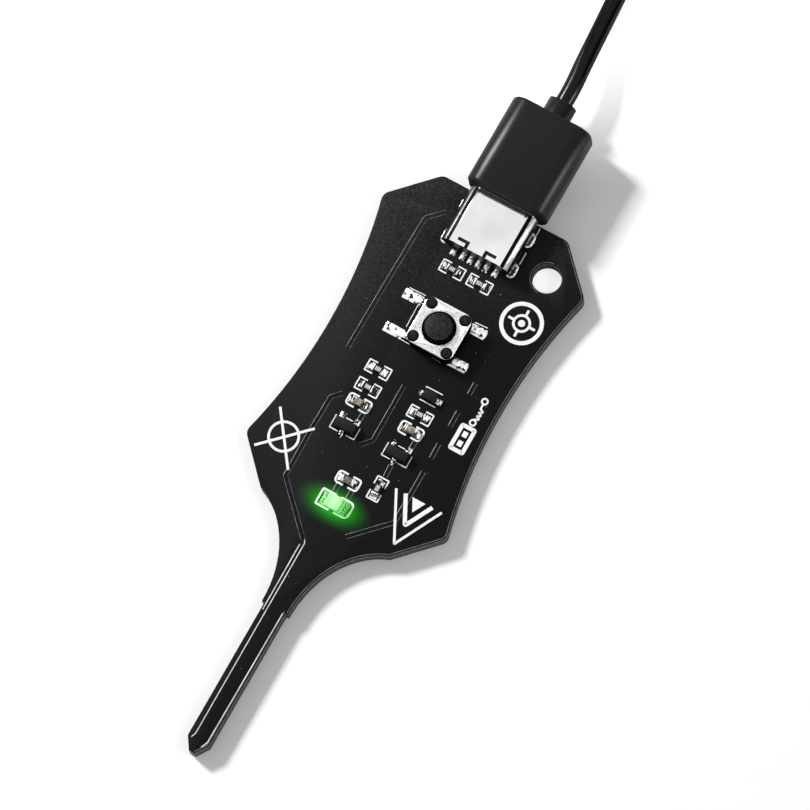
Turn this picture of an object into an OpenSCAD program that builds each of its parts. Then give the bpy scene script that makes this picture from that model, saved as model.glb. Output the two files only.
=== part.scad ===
// Ignition coil tester: a slim black circuit board with a pointed probe,
// a push switch, a lamp and a power socket with its lead plugged in.
// The board lies on z = 0 with the probe towards -Y and the socket towards +Y.

/* [Board] */
// Length from the probe's tip to the socket edge
board_length = 73; // [66:0.5:90]
// Thickness of the board
board_thickness = 2; // [1.6:0.1:2.6]
// Width of the straight edge under the socket
top_edge_width = 16.6; // [14:0.2:19]
// Width across the upper corners
upper_width = 26.8; // [25:0.2:30]
// Distance of the upper corners below the socket edge
upper_corner_drop = 5.2; // [4:0.1:7]
// Width across the waist
waist_width = 22.6; // [20:0.2:24]
// Width across the lower corners
lower_width = 26.6; // [25:0.2:30]
// Distance of the lower corners from the probe's tip
lower_corner_rise = 35.6; // [33:0.2:38]
// Radius on the four outer corners
corner_radius = 1.2; // [0.4:0.1:2]
// Width where the neck begins to close in
neck_width = 17; // [14:0.2:20]
// Distance of that place from the probe's tip
neck_rise = 30.65; // [28:0.05:32]

/* [Probe] */
// Length of the probe from its tip to the shoulder
probe_length = 19.1; // [14:0.1:22]
// Width of the probe
probe_width = 2.76; // [2:0.02:4]
// Step on each side at the shoulder
shoulder_step = 0.34; // [0.1:0.02:0.6]
// Length of the point
point_length = 1.5; // [0.8:0.1:3]
// Width of the blunt end of the point
point_width = 0.76; // [0.4:0.02:1.2]

/* [Lanyard hole] */
// Diameter of the hole
lanyard_hole = 3.5; // [2.5:0.1:4]
// Distance of the hole from the board's centre line
lanyard_side = 8.3; // [7:0.1:9.5]
// Distance of the hole below the socket edge
lanyard_drop = 5.05; // [4.5:0.05:7]

/* [Power socket] */
// Width of the shell
socket_width = 8.94; // [8.8:0.01:9.2]
// Height of the shell
socket_height = 3.2; // [3.1:0.01:3.4]
// Depth of the shell
socket_depth = 7; // [6.6:0.1:8]
// Sheet thickness of the shell
socket_wall = 0.28; // [0.2:0.01:0.3]
// Distance between the front and the rear legs
socket_leg_pitch = 4.1; // [3.6:0.1:4.4]
// Width of each leg along the shell
socket_leg_width = 1.1; // [0.8:0.1:1.4]
// How far the legs reach into the board
socket_leg_reach = 1.2; // [0.8:0.1:1.4]
// Width of the tongue
tongue_width = 6.69; // [6.4:0.01:6.75]
// Thickness of the tongue
tongue_thickness = 0.7; // [0.6:0.01:0.74]
// Length of the tongue in front of the moulding
tongue_length = 4.8; // [4:0.1:5]
// Depth of the moulding behind the tongue
socket_base_depth = 1; // [0.8:0.1:1]

/* [Lead plug] */
// Width of the plug's shell
plug_width = 8.25; // [8.1:0.01:8.3]
// Height of the plug's shell
plug_height = 2.4; // [2.3:0.01:2.46]
// Sheet thickness of the plug's shell
plug_wall = 0.22; // [0.15:0.01:0.25]
// Length of the plug's shell in front of the grip
plug_reach = 6.2; // [6:0.05:6.2]
// Clearance between the grip and the socket edge
grip_gap = 0.3; // [0.25:0.05:0.5]
// Width of the moulded grip
grip_width = 10.4; // [9.6:0.1:12]
// Thickness of the moulded grip
grip_thickness = 6.2; // [5.4:0.1:6.6]
// Length of the moulded grip
grip_length = 11.4; // [9:0.1:14]
// Radius on the grip's long edges
grip_radius = 2.2; // [1:0.1:2.6]
// Diameter of the collar where the lead comes out
collar_diameter = 3.5; // [3:0.1:4.4]
// Length of that collar
collar_length = 2.1; // [1.5:0.1:4]

/* [Push switch] */
// Width of the square body
switch_size = 6; // [5.8:0.1:6.2]
// Distance of the switch below the socket edge
switch_drop = 16.6; // [15.5:0.1:18]
// Sideways place of the switch, as soldered
switch_side = 0.7; // [-0.7:0.05:0.7]
// Thickness of the moulded floor
switch_floor = 0.8; // [0.7:0.05:1]
// Thickness of the cover plate
cover_thickness = 0.25; // [0.15:0.01:0.35]
// Corner radius of the cover plate
cover_radius = 1; // [0.3:0.1:1.4]
// Distance between rivets, both ways
rivet_pitch = 4.4; // [4.2:0.05:4.5]
// Diameter of the rivet heads
rivet_head = 1.4; // [1.1:0.05:1.4]
// Height of the rivet heads
rivet_rise = 0.12; // [0.05:0.01:0.3]
// Diameter of the button
button_diameter = 3.6; // [3:0.1:3.8]
// How far the button stands above the cover
button_rise = 0.8; // [0.5:0.05:2.5]
// Travel of the button
button_travel = 0.25; // [0.15:0.01:0.28]
// Diameter of the snap dome
dome_diameter = 4.1; // [3.6:0.1:4.3]
// Sheet thickness of the snap dome
dome_wall = 0.07; // [0.05:0.01:0.1]
// Distance between the two rows of legs
switch_leg_pitch = 4.5; // [4.3:0.05:4.6]
// Width of each leg
switch_leg_width = 0.7; // [0.5:0.05:0.8]
// Span across the toes of the legs
switch_leg_span = 9; // [8.6:0.1:9.4]

/* [Chip parts] */
// Length of the small chips
chip_length = 1.6; // [1.5:0.05:1.7]
// Width of the small chips
chip_width = 0.8; // [0.7:0.05:0.9]
// Height of the chip resistors
resistor_height = 0.45; // [0.35:0.05:0.6]
// Height of the chip capacitors
capacitor_height = 0.8; // [0.6:0.05:0.9]
// Length of the metal on each chip end
end_cap_length = 0.3; // [0.2:0.02:0.4]
// Distance of the two columns from the centre line
column_side = 3.45; // [3.2:0.05:4.5]
// Distance of the first row below the socket edge
first_row_drop = 23.8; // [23:0.1:25]
// Distance of the second row below the socket edge
second_row_drop = 26.2; // [25.9:0.05:26.6]
// Distance of the capacitor row below the socket edge
capacitor_row_drop = 28.3; // [28.1:0.05:28.6]
// Distance of the transistor row below the socket edge
transistor_row_drop = 31.5; // [31.2:0.05:32.2]
// Distance of the socket's two resistors below the socket edge
pull_down_drop = 9.35; // [9.2:0.05:10.5]
// Distance of each of those two from the centre line
pull_down_side = 1.8; // [1.7:0.05:2.5]
// Distance of the turned resistor below the socket edge
turned_resistor_drop = 36.1; // [35.8:0.1:37.2]
// Distance of the lamp's resistor below the socket edge
lamp_resistor_drop = 36.9; // [36.2:0.1:37.4]

/* [Transistors and diode] */
// Length of a transistor body
transistor_length = 2.9; // [2.7:0.05:3.1]
// Width of a transistor body
transistor_width = 1.3; // [1.2:0.05:1.4]
// Height of a transistor over the board
transistor_height = 1.05; // [0.95:0.05:1.2]
// Span across the leads of a transistor
transistor_span = 2.4; // [2.2:0.05:2.6]
// Distance between neighbouring leads of a transistor
transistor_lead_pitch = 0.95; // [0.9:0.01:1]
// Length of the diode body
diode_length = 1.75; // [1.6:0.05:1.9]
// Width of the diode body
diode_width = 1.3; // [1.15:0.05:1.4]
// Height of the diode over the board
diode_height = 0.95; // [0.85:0.05:1.1]
// Span across the leads of the diode
diode_span = 2.6; // [2.4:0.05:2.8]
// Sheet thickness of the leads
lead_thickness = 0.13; // [0.1:0.01:0.16]
// Width of the leads
lead_width = 0.42; // [0.3:0.01:0.5]

/* [Lamp] */
// Length of the lamp
lamp_length = 3.2; // [3:0.05:3.4]
// Width of the lamp
lamp_width = 1.6; // [1.4:0.05:1.8]
// Height of the lamp
lamp_height = 1.1; // [0.8:0.05:1.3]
// Thickness of its carrier
lamp_base = 0.4; // [0.25:0.05:0.5]
// Length of its clear block
lamp_block = 2; // [1.6:0.05:2.2]
// Distance of the lamp below the socket edge
lamp_drop = 39.95; // [39.2:0.05:41.2]

/* [Solder] */
// Thickness of the tinned pads
pad_thickness = 0.05; // [0.03:0.01:0.1]
// Length of a solder fillet beside a chip
fillet_length = 0.32; // [0.2:0.02:0.4]

/* [Lead] */
// Diameter of the lead
cable_diameter = 2.2; // [2:0.1:2.4]
// Columns of turns in the coil
coil_columns = 3; // [2:1:4]
// Layers of turns in the coil
coil_layers = 2; // [1:1:3]
// Diameter across the middle of the turns
coil_diameter = 24; // [22:0.1:26]
// Width of the tie round the coil
tie_width = 4; // [2:0.5:6]
// Thickness of the tie
tie_thickness = 0.6; // [0.4:0.1:1]

/* [Far plug] */
// Width of the far plug's shell
far_width = 12; // [11.9:0.05:12.2]
// Height of the far plug's shell
far_height = 4.5; // [4.4:0.05:4.6]
// Length of the far plug's shell in front of its grip
far_reach = 12; // [11.6:0.1:12.6]
// Sheet thickness of the far plug's shell
far_wall = 0.3; // [0.2:0.02:0.35]
// Width of the far plug's grip
far_grip_width = 15.4; // [14:0.1:16.5]
// Thickness of the far plug's grip
far_grip_thickness = 7; // [6.4:0.1:8]
// Length of the far plug's grip
far_grip_length = 16.5; // [14:0.5:20]

/* [Hidden] */

// How far a fused piece reaches into its neighbour, and a cutting one past what it cuts
EPS = 0.01;
OVER = 1;
tip_y = -board_length / 2;
edge_y = board_length / 2;
top_z = board_thickness;
part_z = top_z + pad_thickness;

// Points on the arc that rounds one corner, in the order of travel
corner_steps = 6;
function unit(v) = v / norm(v);
function rounded_corner(before, corner, after, radius) =
    let (
        u = unit(before - corner),
        v = unit(after - corner),
        half = acos(u * v) / 2,
        reach = radius / tan(half),
        centre = corner + unit(u + v) * radius / sin(half),
        start = corner + u * reach - centre,
        turn = sign(v[0] * u[1] - v[1] * u[0]) * (180 - 2 * half)
    )
    [for (i = [0 : corner_steps])
        let (a = turn * i / corner_steps)
        centre + [start[0] * cos(a) - start[1] * sin(a), start[0] * sin(a) + start[1] * cos(a)]];

// A smooth curve from p to s that leaves towards q and arrives from r
function curve(p, q, r, s, steps) =
    [for (i = [0 : steps])
        let (t = i / steps, k = 1 - t)
        k * k * k * p + 3 * k * k * t * q + 3 * k * t * t * r + t * t * t * s];

// Right half of the board's outline, from the tip to the socket edge
lower_corner = [lower_width / 2, tip_y + lower_corner_rise];
upper_corner = [upper_width / 2, edge_y - upper_corner_drop];
top_corner = [top_edge_width / 2, edge_y];
neck_corner = [neck_width / 2, tip_y + neck_rise];
shoulder = [probe_width / 2 + shoulder_step, tip_y + probe_length];

// The waist is one arc through the lower corner, the waist and the upper corner
waist_steps = 20;
waist_chord = norm(upper_corner - lower_corner);
waist_sag = (lower_width + upper_width) / 4 - waist_width / 2;
waist_radius = (waist_chord * waist_chord / 4 + waist_sag * waist_sag) / (2 * waist_sag);
waist_along = unit(upper_corner - lower_corner);
waist_out = [waist_along[1], -waist_along[0]];
waist_centre = (lower_corner + upper_corner) / 2 + waist_out * (waist_radius - waist_sag);
waist_half_angle = asin(waist_chord / 2 / waist_radius);
function waist_point(a) = waist_centre + waist_radius * (waist_along * sin(a) - waist_out * cos(a));
waist_trim_share = 1.6;
waist_trim = waist_trim_share * corner_radius / waist_radius * 180 / PI;
waist_points = [for (i = [0 : waist_steps])
    waist_point((waist_half_angle - waist_trim) * (2 * i / waist_steps - 1))];

// The neck leaves the shoulder upwards and meets the lower corner's flank at a slant
neck_slant = 20;
neck_height = neck_corner[1] - shoulder[1];
neck_pull_share = 0.56;
neck_ease_share = 0.3;
neck_pull = neck_pull_share * neck_height;
neck_ease = neck_ease_share * neck_height;
neck_steps = 18;
neck_points = curve(
    shoulder, shoulder + [0, neck_pull],
    neck_corner - neck_ease * [cos(neck_slant), sin(neck_slant)], neck_corner, neck_steps);

right_half = concat(
    [[point_width / 2, tip_y],
     [probe_width / 2, tip_y + point_length],
     [probe_width / 2, shoulder[1]]],
    neck_points,
    rounded_corner(neck_corner, lower_corner, waist_points[0], corner_radius),
    waist_points,
    rounded_corner(waist_points[waist_steps], upper_corner, top_corner, corner_radius),
    rounded_corner(upper_corner, top_corner, [0, edge_y], corner_radius));
left_half = [for (i = [len(right_half) - 1 : -1 : 0]) [-right_half[i][0], right_half[i][1]]];

// Socket: the shell's rear face, its axis and its legs
socket_rear = edge_y - socket_depth;
socket_z = top_z + socket_height / 2;
socket_leg_x = socket_width / 2 - socket_wall / 2;
rear_leg_inset = 0.9;
rear_leg_y = socket_rear + rear_leg_inset;
socket_leg_ys = [rear_leg_y, rear_leg_y + socket_leg_pitch];
leg_slot_width = 0.6;
leg_slot_slack = 0.15;
leg_slot_length = socket_leg_width + 2 * leg_slot_slack;
leg_pad_rim = 0.25;
slot_cut = 0.4;
slot_from = 1;
slot_to = 2.5;
slot_back = 0.85;

// Six contacts, three above and three below the tongue
contact_places = [-2.75, -1.52, -0.5, 0.5, 1.52, 2.75];
contact_width = 0.3;
contact_thickness = 0.12;
contact_tail = 0.7;
contact_heel = 0.15;
contact_nose = 0.5;
contact_exit_z = top_z + socket_wall + 0.1;
socket_pad_width = 0.62;
socket_pad_length = 0.85;
tongue_root = socket_rear + socket_base_depth;
tongue_slack = 0.12;

// Plug: the grip's front face and what lies inside the shell
grip_front = edge_y + grip_gap;
grip_rear = grip_front + grip_length;
collar_rear = grip_rear + collar_length;
plug_tip = grip_front - plug_reach;
grip_bevel = 0.3;
plug_contact_from = 0.6;
plug_contact_length = 3.4;
tongue_end_slack = 0.3;

// Switch: heights over the board
switch_y = edge_y - switch_drop;
switch_stand = 0.05;
strip_thickness = 0.2;
strip_lift = 0.3;
foot_length = 1;
dome_reserve = 0.11;
dome_rise = button_travel + dome_reserve;
cavity_clearance = 0.15;
button_play = 0.05;
flange_rim = 0.3;
flange_thickness = 0.45;
nub_diameter = 1.4;
nub_height = 0.25;
post_diameter = 1;
base_z = part_z + switch_stand;
cavity_z = base_z + switch_floor;
dome_top_z = cavity_z + dome_rise + dome_wall;
flange_z = dome_top_z + button_play + nub_height;
cover_z = flange_z + flange_thickness + button_play;
cover_top_z = cover_z + cover_thickness;
button_clearance = 0.15;
cover_hole = button_diameter + 2 * button_clearance;
flange_diameter = button_diameter + 2 * flange_rim;
cavity_diameter = flange_diameter + 2 * cavity_clearance;
button_edge = 0.2;
button_edge_ease = 0.3;
switch_pad_length = 2.4;
switch_pad_width = 1.25;
switch_pad_x = 4.2;
contact_post = 0.9;
rim_contact_inset = 0.3;
rim_contact_y = dome_diameter / 2 - rim_contact_inset;

// Chip parts: the metal, the pads and the fillets beside them
cap_wall = 0.03;
chip_pad_length = 0.9;
chip_pad_width = 0.85;
pull_down_y = edge_y - pull_down_drop;
turned_resistor_y = edge_y - turned_resistor_drop;
lamp_resistor_y = edge_y - lamp_resistor_drop;
lamp_y = edge_y - lamp_drop;
row_ys = [edge_y - first_row_drop, edge_y - second_row_drop, edge_y - capacitor_row_drop];
transistor_y = edge_y - transistor_row_drop;
// Each chip as its place, its turn and its height
left_pull_down = [-pull_down_side, pull_down_y, 0, resistor_height];
right_pull_down = [pull_down_side, pull_down_y, 0, resistor_height];
left_upper = [-column_side, row_ys[0], 0, resistor_height];
left_lower = [-column_side, row_ys[1], 0, resistor_height];
right_lower = [column_side, row_ys[1], 0, resistor_height];
turned = [column_side, turned_resistor_y, 90, resistor_height];
by_lamp = [0, lamp_resistor_y, 0, resistor_height];
left_store = [-column_side, row_ys[2], 0, capacitor_height];
right_store = [column_side, row_ys[2], 0, capacitor_height];
chips = [left_pull_down, right_pull_down, left_upper, left_lower, right_lower,
    turned, by_lamp, left_store, right_store];
transistor_xs = [-column_side, column_side];
// Leads of a transistor as side place and which way they face
transistor_leads_at = [[-transistor_lead_pitch, 1], [transistor_lead_pitch, 1], [0, -1]];
draft = 0.12;
body_stand = 0.08;
foot_share = 0.42;
foot_least = 0.1;
lead_pad_margin = 0.12;
lead_pad_length = 0.8;
lead_pad_inset = 0.15;
lead_fillet = 0.2;
chip_fillet_climb = 0.7;
lamp_fillet_inset = 0.1;
lamp_cap = 0.5;
lamp_pad_length = 1.1;

// Lead: the run from the collar to the coil, and the end from the coil to the far plug
cable_r = cable_diameter / 2;
run_points = [
    [0, collar_rear, socket_z], [0, 52.2, 3.6], [-0.3, 55.5, 3.3], [-0.7, 59.5, 2.4],
    [-1.1, 63.5, 1.6], [-1.4, 67.5, 1.2], [-1.5, 71.5, 1.1], [-1.6, 75.5, 1.1],
    [-1.6, 79.5, 1.1], [-1.6, 83.8, 1.1], [-1.6, 88, 1.1]
];
coil_centre = [-15.8, 88];
end_points = [
    [-15.8, 102.2, 3.3], [-18.4, 101.7, 3.6], [-20.6, 100.2, 4.6], [-22.1, 98.2, 5.9],
    [-22.8, 96, 7.2], [-22.8, 94, 7.9], [-22.8, 92, 7.9]
];
cable_sides = 8;
coil_height = coil_layers * cable_diameter;
far_x = -22.8;
far_rear = 92;
far_collar_length = 4;
far_collar_diameter = 4;
far_z = coil_height + far_grip_thickness / 2;
far_grip_front = far_rear - far_collar_length - far_grip_length;
far_tip = far_grip_front - far_reach;
far_window_width = 2.4;
far_window_length = 1.9;
far_window_from = 5.4;
far_shell_radius = 0.5;
far_grip_radius = 1.6;
far_grip_bevel = 0.6;
far_moulding_height = 1.9;
far_moulding_set_back = 0.4;
far_contact_width = 1;
far_contact_thickness = 0.2;
far_contact_from = 1;
far_contact_rest = 2;
far_contact_length = far_reach - far_contact_from - far_contact_rest;
far_contacts_at = [-3.5, -1, 1, 3.5];
coil_width = coil_columns * cable_diameter;
coil_edge = 0.8 * cable_r;
tie_angle = 300;

board_colour = "#1c1d1f";
metal_colour = "#d9dadc";
tin_colour = "#c9ccd0";
plastic_colour = "#161617";
cord_colour = "#1d1d1e";

// Flat shapes and small solids that several parts share

module rounded_rectangle(width, height, radius) {
    for (side = [-1, 1])
        for (level = [-1, 1])
            translate([side * (width / 2 - radius), level * (height / 2 - radius)])
                circle(r = radius, $fn = 32);
    square([width, height - 2 * radius], center = true);
    square([width - 2 * radius, height], center = true);
}

// A flat loop with round ends, as the shells of the socket and its plug have
module round_ended(width, height) {
    for (side = [-1, 1])
        translate([side * (width - height) / 2, 0])
            circle(d = height, $fn = 48);
    square([width - height, height], center = true);
}

// Lays a drawn section upright and extends it along Y from y to y + length
module along_y(y, z, length) {
    translate([0, y + length, z])
        rotate([90, 0, 0])
            linear_extrude(length) children();
}

module round_slot(length, width, height) {
    for (side = [-1, 1])
        translate([0, side * (length - width) / 2, 0])
            cylinder(d = width, h = height, $fn = 32);
    translate([-width / 2, -(length - width) / 2, 0])
        cube([width, length - width, height]);
}

module place_chip(chip) {
    translate([chip[0], chip[1], part_z])
        rotate(chip[2]) children();
}

// Board

module circuit_board() {
    color(board_colour)
        difference() {
            linear_extrude(board_thickness) polygon(concat(right_half, left_half));
            translate([lanyard_side, edge_y - lanyard_drop, -OVER])
                cylinder(d = lanyard_hole, h = board_thickness + 2 * OVER, $fn = 64);
            for (side = [-1, 1])
                for (y = socket_leg_ys)
                    translate([side * socket_leg_x, y, -OVER])
                        round_slot(leg_slot_length, leg_slot_width, board_thickness + 2 * OVER);
        }
}

module pad(x, y, length, width) {
    translate([x - length / 2, y - width / 2, top_z])
        cube([length, width, pad_thickness]);
}

module chip_pads(length, span, width) {
    for (side = [-1, 1])
        translate([side * span - length / 2, -width / 2, -pad_thickness])
            cube([length, width, pad_thickness]);
}

module solder_pads() {
    color(tin_colour) {
        for (x = contact_places)
            pad(x, socket_rear - socket_pad_length / 2, socket_pad_width, socket_pad_length);
        for (side = [-1, 1]) {
            for (y = socket_leg_ys)
                translate([side * socket_leg_x, y, top_z])
                    difference() {
                        round_slot(leg_slot_length + 2 * leg_pad_rim,
                            leg_slot_width + 2 * leg_pad_rim, pad_thickness);
                        translate([0, 0, -OVER])
                            round_slot(leg_slot_length, leg_slot_width, 2 * OVER);
                    }
            for (row = [-1, 1])
                pad(side * switch_pad_x, switch_y + row * switch_leg_pitch / 2,
                    switch_pad_length, switch_pad_width);
        }
        for (chip = chips)
            place_chip(chip) chip_pads(chip_pad_length, chip_length / 2, chip_pad_width);
        for (x = transistor_xs)
            for (lead = transistor_leads_at)
                translate([x + lead[0], transistor_y + lead[1] * transistor_span / 2, part_z])
                    translate([0, -lead[1] * lead_pad_inset, 0])
                        rotate(90) lead_pad();
        for (side = [-1, 1])
            translate([column_side + side * (diode_span / 2 - lead_pad_inset), row_ys[0], part_z])
                lead_pad();
        translate([0, lamp_y, part_z]) chip_pads(lamp_pad_length, lamp_length / 2, lamp_width);
    }
}

module lead_pad() {
    translate([-lead_pad_length / 2, -lead_width / 2 - lead_pad_margin, -pad_thickness])
        cube([lead_pad_length, lead_width + 2 * lead_pad_margin, pad_thickness]);
}

// Solder climbs from the pad up the end of a part, hollowed by its surface
module solder_fillet(length, width, height) {
    rotate([90, 0, 0])
        translate([0, 0, -width / 2])
            linear_extrude(width)
                polygon([[0, 0], [length, 0], [0.55 * length, 0.16 * height],
                    [0.22 * length, 0.48 * height], [0, height]]);
}

module solder_fillets() {
    color(tin_colour) {
        for (chip = chips)
            place_chip(chip)
                for (turn = [0, 180])
                    rotate(turn)
                        translate([chip_length / 2, 0, 0])
                            solder_fillet(fillet_length, chip_width, chip_fillet_climb * chip[3]);
        translate([0, lamp_y, part_z])
            for (turn = [0, 180])
                rotate(turn)
                    translate([lamp_length / 2, 0, 0])
                        solder_fillet(fillet_length, lamp_width - 2 * lamp_fillet_inset,
                            lamp_base);
        for (x = transistor_xs)
            for (lead = transistor_leads_at)
                translate([x + lead[0], transistor_y, part_z])
                    rotate(90 * lead[1])
                        translate([transistor_span / 2, 0, 0])
                            solder_fillet(lead_fillet, lead_width, lead_thickness);
        for (turn = [0, 180])
            translate([column_side, row_ys[0], part_z])
                rotate(turn)
                    translate([diode_span / 2, 0, 0])
                        solder_fillet(lead_fillet, lead_width, lead_thickness);
        for (turn = [0, 180])
            for (row = [-1, 1])
                translate([switch_side, switch_y, part_z])
                    rotate(turn)
                        translate([switch_leg_span / 2, row * switch_leg_pitch / 2, 0])
                            solder_fillet(fillet_length, switch_leg_width, strip_thickness);
        for (x = contact_places)
            translate([x, socket_rear - contact_tail, part_z])
                rotate(-90)
                    solder_fillet(socket_pad_length - contact_tail, contact_width, contact_thickness);
        for (side = [-1, 1])
            for (y = socket_leg_ys)
                difference() {
                    translate([side * socket_leg_x, y, 0])
                        round_slot(leg_slot_length, leg_slot_width, top_z);
                    socket_legs(0);
                }
    }
}

// Power socket

module socket_legs(rise) {
    for (side = [-1, 1])
        for (y = socket_leg_ys)
            translate([side * socket_leg_x - socket_wall / 2,
                y - socket_leg_width / 2, top_z - socket_leg_reach])
                cube([socket_wall, socket_leg_width, socket_leg_reach + rise]);
}

module socket_shell() {
    color(metal_colour)
        difference() {
            union() {
                along_y(socket_rear, socket_z, socket_depth)
                    round_ended(socket_width, socket_height);
                socket_legs(socket_height / 2);
            }
            along_y(socket_rear - OVER, socket_z, socket_depth + 2 * OVER)
                round_ended(socket_width - 2 * socket_wall, socket_height - 2 * socket_wall);
            for (side = [-1, 1])
                mirror([side > 0 ? 0 : 1, 0, 0])
                    translate([0, socket_rear, socket_z]) {
                        translate([slot_from, slot_back - slot_cut, 0])
                            cube([slot_to - slot_from, slot_cut, socket_height]);
                        translate([slot_from, -OVER, 0])
                            cube([slot_cut, OVER + slot_back, socket_height]);
                    }
        }
}

// One folded strip: its foot on the pad, its rise inside the moulding and its run on the tongue
module socket_contact(x, above) {
    t = contact_thickness;
    level = socket_z + (above ? tongue_thickness / 2 - t : -tongue_thickness / 2);
    toe = socket_rear - contact_tail;
    heel = socket_rear - contact_heel;
    rise = tongue_root - socket_base_depth / 2;
    nose = tongue_root + tongue_length - contact_nose;
    translate([x - contact_width / 2, 0, 0])
        rotate([90, 0, 90])
            linear_extrude(contact_width)
                polygon([
                    [toe, part_z], [heel, part_z], [heel, contact_exit_z],
                    [rise, contact_exit_z], [rise, level], [nose, level], [nose, level + t],
                    [rise - t, level + t], [rise - t, contact_exit_z + t],
                    [heel - t, contact_exit_z + t], [heel - t, part_z + t], [toe, part_z + t]
                ]);
}

module socket_contacts() {
    color("#c9a45a")
        for (i = [0 : len(contact_places) - 1])
            socket_contact(contact_places[i], i % 2 == 0);
}

// The moulding closes the shell's rear and carries the tongue, with the contacts let in flush
module socket_moulding() {
    inner_width = socket_width - 2 * socket_wall;
    inner_height = socket_height - 2 * socket_wall;
    color(plastic_colour)
        difference() {
            union() {
                along_y(socket_rear, socket_z, socket_base_depth)
                    round_ended(inner_width, inner_height);
                along_y(tongue_root - EPS, socket_z, tongue_length + EPS)
                    square([tongue_width, tongue_thickness], center = true);
            }
            for (i = [0 : len(contact_places) - 1])
                socket_contact(contact_places[i], i % 2 == 0);
        }
}

// Push switch

// A strip that runs under the floor and ends in a bent leg on each side
module terminal_strip() {
    low = part_z;
    high = base_z + strip_lift;
    half = switch_size / 2;
    toe = switch_leg_span / 2;
    heel = toe - foot_length;
    right = [
        [half, high + strip_thickness], [heel + strip_thickness, high + strip_thickness],
        [heel + strip_thickness, low + strip_thickness], [toe, low + strip_thickness],
        [toe, low], [heel, low], [heel, high], [half, high]
    ];
    left = [for (i = [len(right) - 1 : -1 : 0]) [-right[i][0], right[i][1]]];
    translate([0, switch_leg_width / 2, 0])
        rotate([90, 0, 0])
            linear_extrude(switch_leg_width) polygon(concat(right, left));
}

module switch_terminals_shape() {
    tab_z = base_z + strip_lift;
    row_y = switch_leg_pitch / 2;
    for (row = [-1, 1])
        translate([switch_side, switch_y + row * row_y, 0]) terminal_strip();
    translate([switch_side - contact_post / 2, switch_y, tab_z]) {
        // The lower strip feeds the middle contact under the dome
        translate([0, -row_y, 0])
            cube([contact_post, row_y + contact_post / 2, strip_thickness]);
        translate([0, -contact_post / 2, 0])
            cube([contact_post, contact_post, cavity_z - tab_z]);
        // The upper strip feeds the dome's rim
        translate([0, rim_contact_y, 0])
            cube([contact_post, row_y - rim_contact_y, cavity_z - tab_z]);
    }
}

module switch_terminals() {
    color(metal_colour) switch_terminals_shape();
}

module at_rivets() {
    for (side = [-1, 1])
        for (row = [-1, 1])
            translate([switch_side + side * rivet_pitch / 2, switch_y + row * rivet_pitch / 2, 0])
                children();
}

module switch_base() {
    color(plastic_colour)
        difference() {
            union() {
                translate([switch_side, switch_y, base_z])
                    linear_extrude(cover_z - base_z)
                        rounded_rectangle(switch_size, switch_size, cover_radius);
                at_rivets() {
                    translate([0, 0, cover_z - EPS])
                        cylinder(d = post_diameter, h = cover_thickness + 2 * EPS, $fn = 32);
                    translate([0, 0, cover_top_z])
                        cylinder(d1 = rivet_head, d2 = rivet_head - 2 * rivet_rise,
                            h = rivet_rise, $fn = 32);
                }
            }
            translate([switch_side, switch_y, cavity_z])
                cylinder(d = cavity_diameter, h = cover_z, $fn = 64);
            switch_terminals_shape();
        }
}

// The dome is a thin cap, struck from a sphere
module switch_dome() {
    half = dome_diameter / 2;
    radius = (half * half + dome_rise * dome_rise) / (2 * dome_rise);
    spread = asin(half / radius);
    steps = 10;
    lower = [for (i = [0 : steps])
        let (a = spread * i / steps) [radius * sin(a), radius * cos(a) - radius + dome_rise]];
    upper = [for (i = [steps : -1 : 0]) [lower[i][0], lower[i][1] + dome_wall]];
    color(metal_colour)
        translate([switch_side, switch_y, cavity_z])
            rotate_extrude($fn = 48) polygon(concat(lower, upper));
}

module switch_button() {
    radius = button_diameter / 2;
    top = cover_top_z + button_rise;
    color(plastic_colour)
        translate([switch_side, switch_y, 0])
            rotate_extrude($fn = 64)
                polygon([
                    [0, flange_z - nub_height], [nub_diameter / 2, flange_z - nub_height],
                    [nub_diameter / 2, flange_z], [flange_diameter / 2, flange_z],
                    [flange_diameter / 2, flange_z + flange_thickness],
                    [radius, flange_z + flange_thickness], [radius, top - button_edge],
                    [radius - button_edge_ease * button_edge, top - button_edge_ease * button_edge],
                    [radius - button_edge, top], [0, top]
                ]);
}

module switch_cover() {
    color(metal_colour)
        difference() {
            translate([switch_side, switch_y, cover_z])
                linear_extrude(cover_thickness)
                    rounded_rectangle(switch_size, switch_size, cover_radius);
            translate([switch_side, switch_y, cover_z - OVER])
                cylinder(d = cover_hole, h = cover_thickness + 2 * OVER, $fn = 64);
            at_rivets()
                translate([0, 0, cover_z - OVER])
                    cylinder(d = post_diameter, h = cover_thickness + 2 * OVER, $fn = 32);
        }
}

// Chip parts

module chip_core(chip, shade) {
    color(shade)
        place_chip(chip)
            translate([-chip_length / 2 + cap_wall, -chip_width / 2, cap_wall])
                cube([chip_length - 2 * cap_wall, chip_width, chip[3] - 2 * cap_wall]);
}

// Metal folded over both ends of a chip, open at its sides
module end_caps(length, width, height, reach) {
    for (turn = [0, 180])
        rotate(turn)
            translate([length / 2, width / 2, 0])
                rotate([90, 0, 0])
                    linear_extrude(width)
                        polygon([
                            [-reach, 0], [0, 0], [0, height], [-reach, height],
                            [-reach, height - cap_wall], [-cap_wall, height - cap_wall],
                            [-cap_wall, cap_wall], [-reach, cap_wall]
                        ]);
}

module chip_end_caps() {
    color(tin_colour)
        for (chip = chips)
            place_chip(chip) end_caps(chip_length, chip_width, chip[3], end_cap_length);
}

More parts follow.
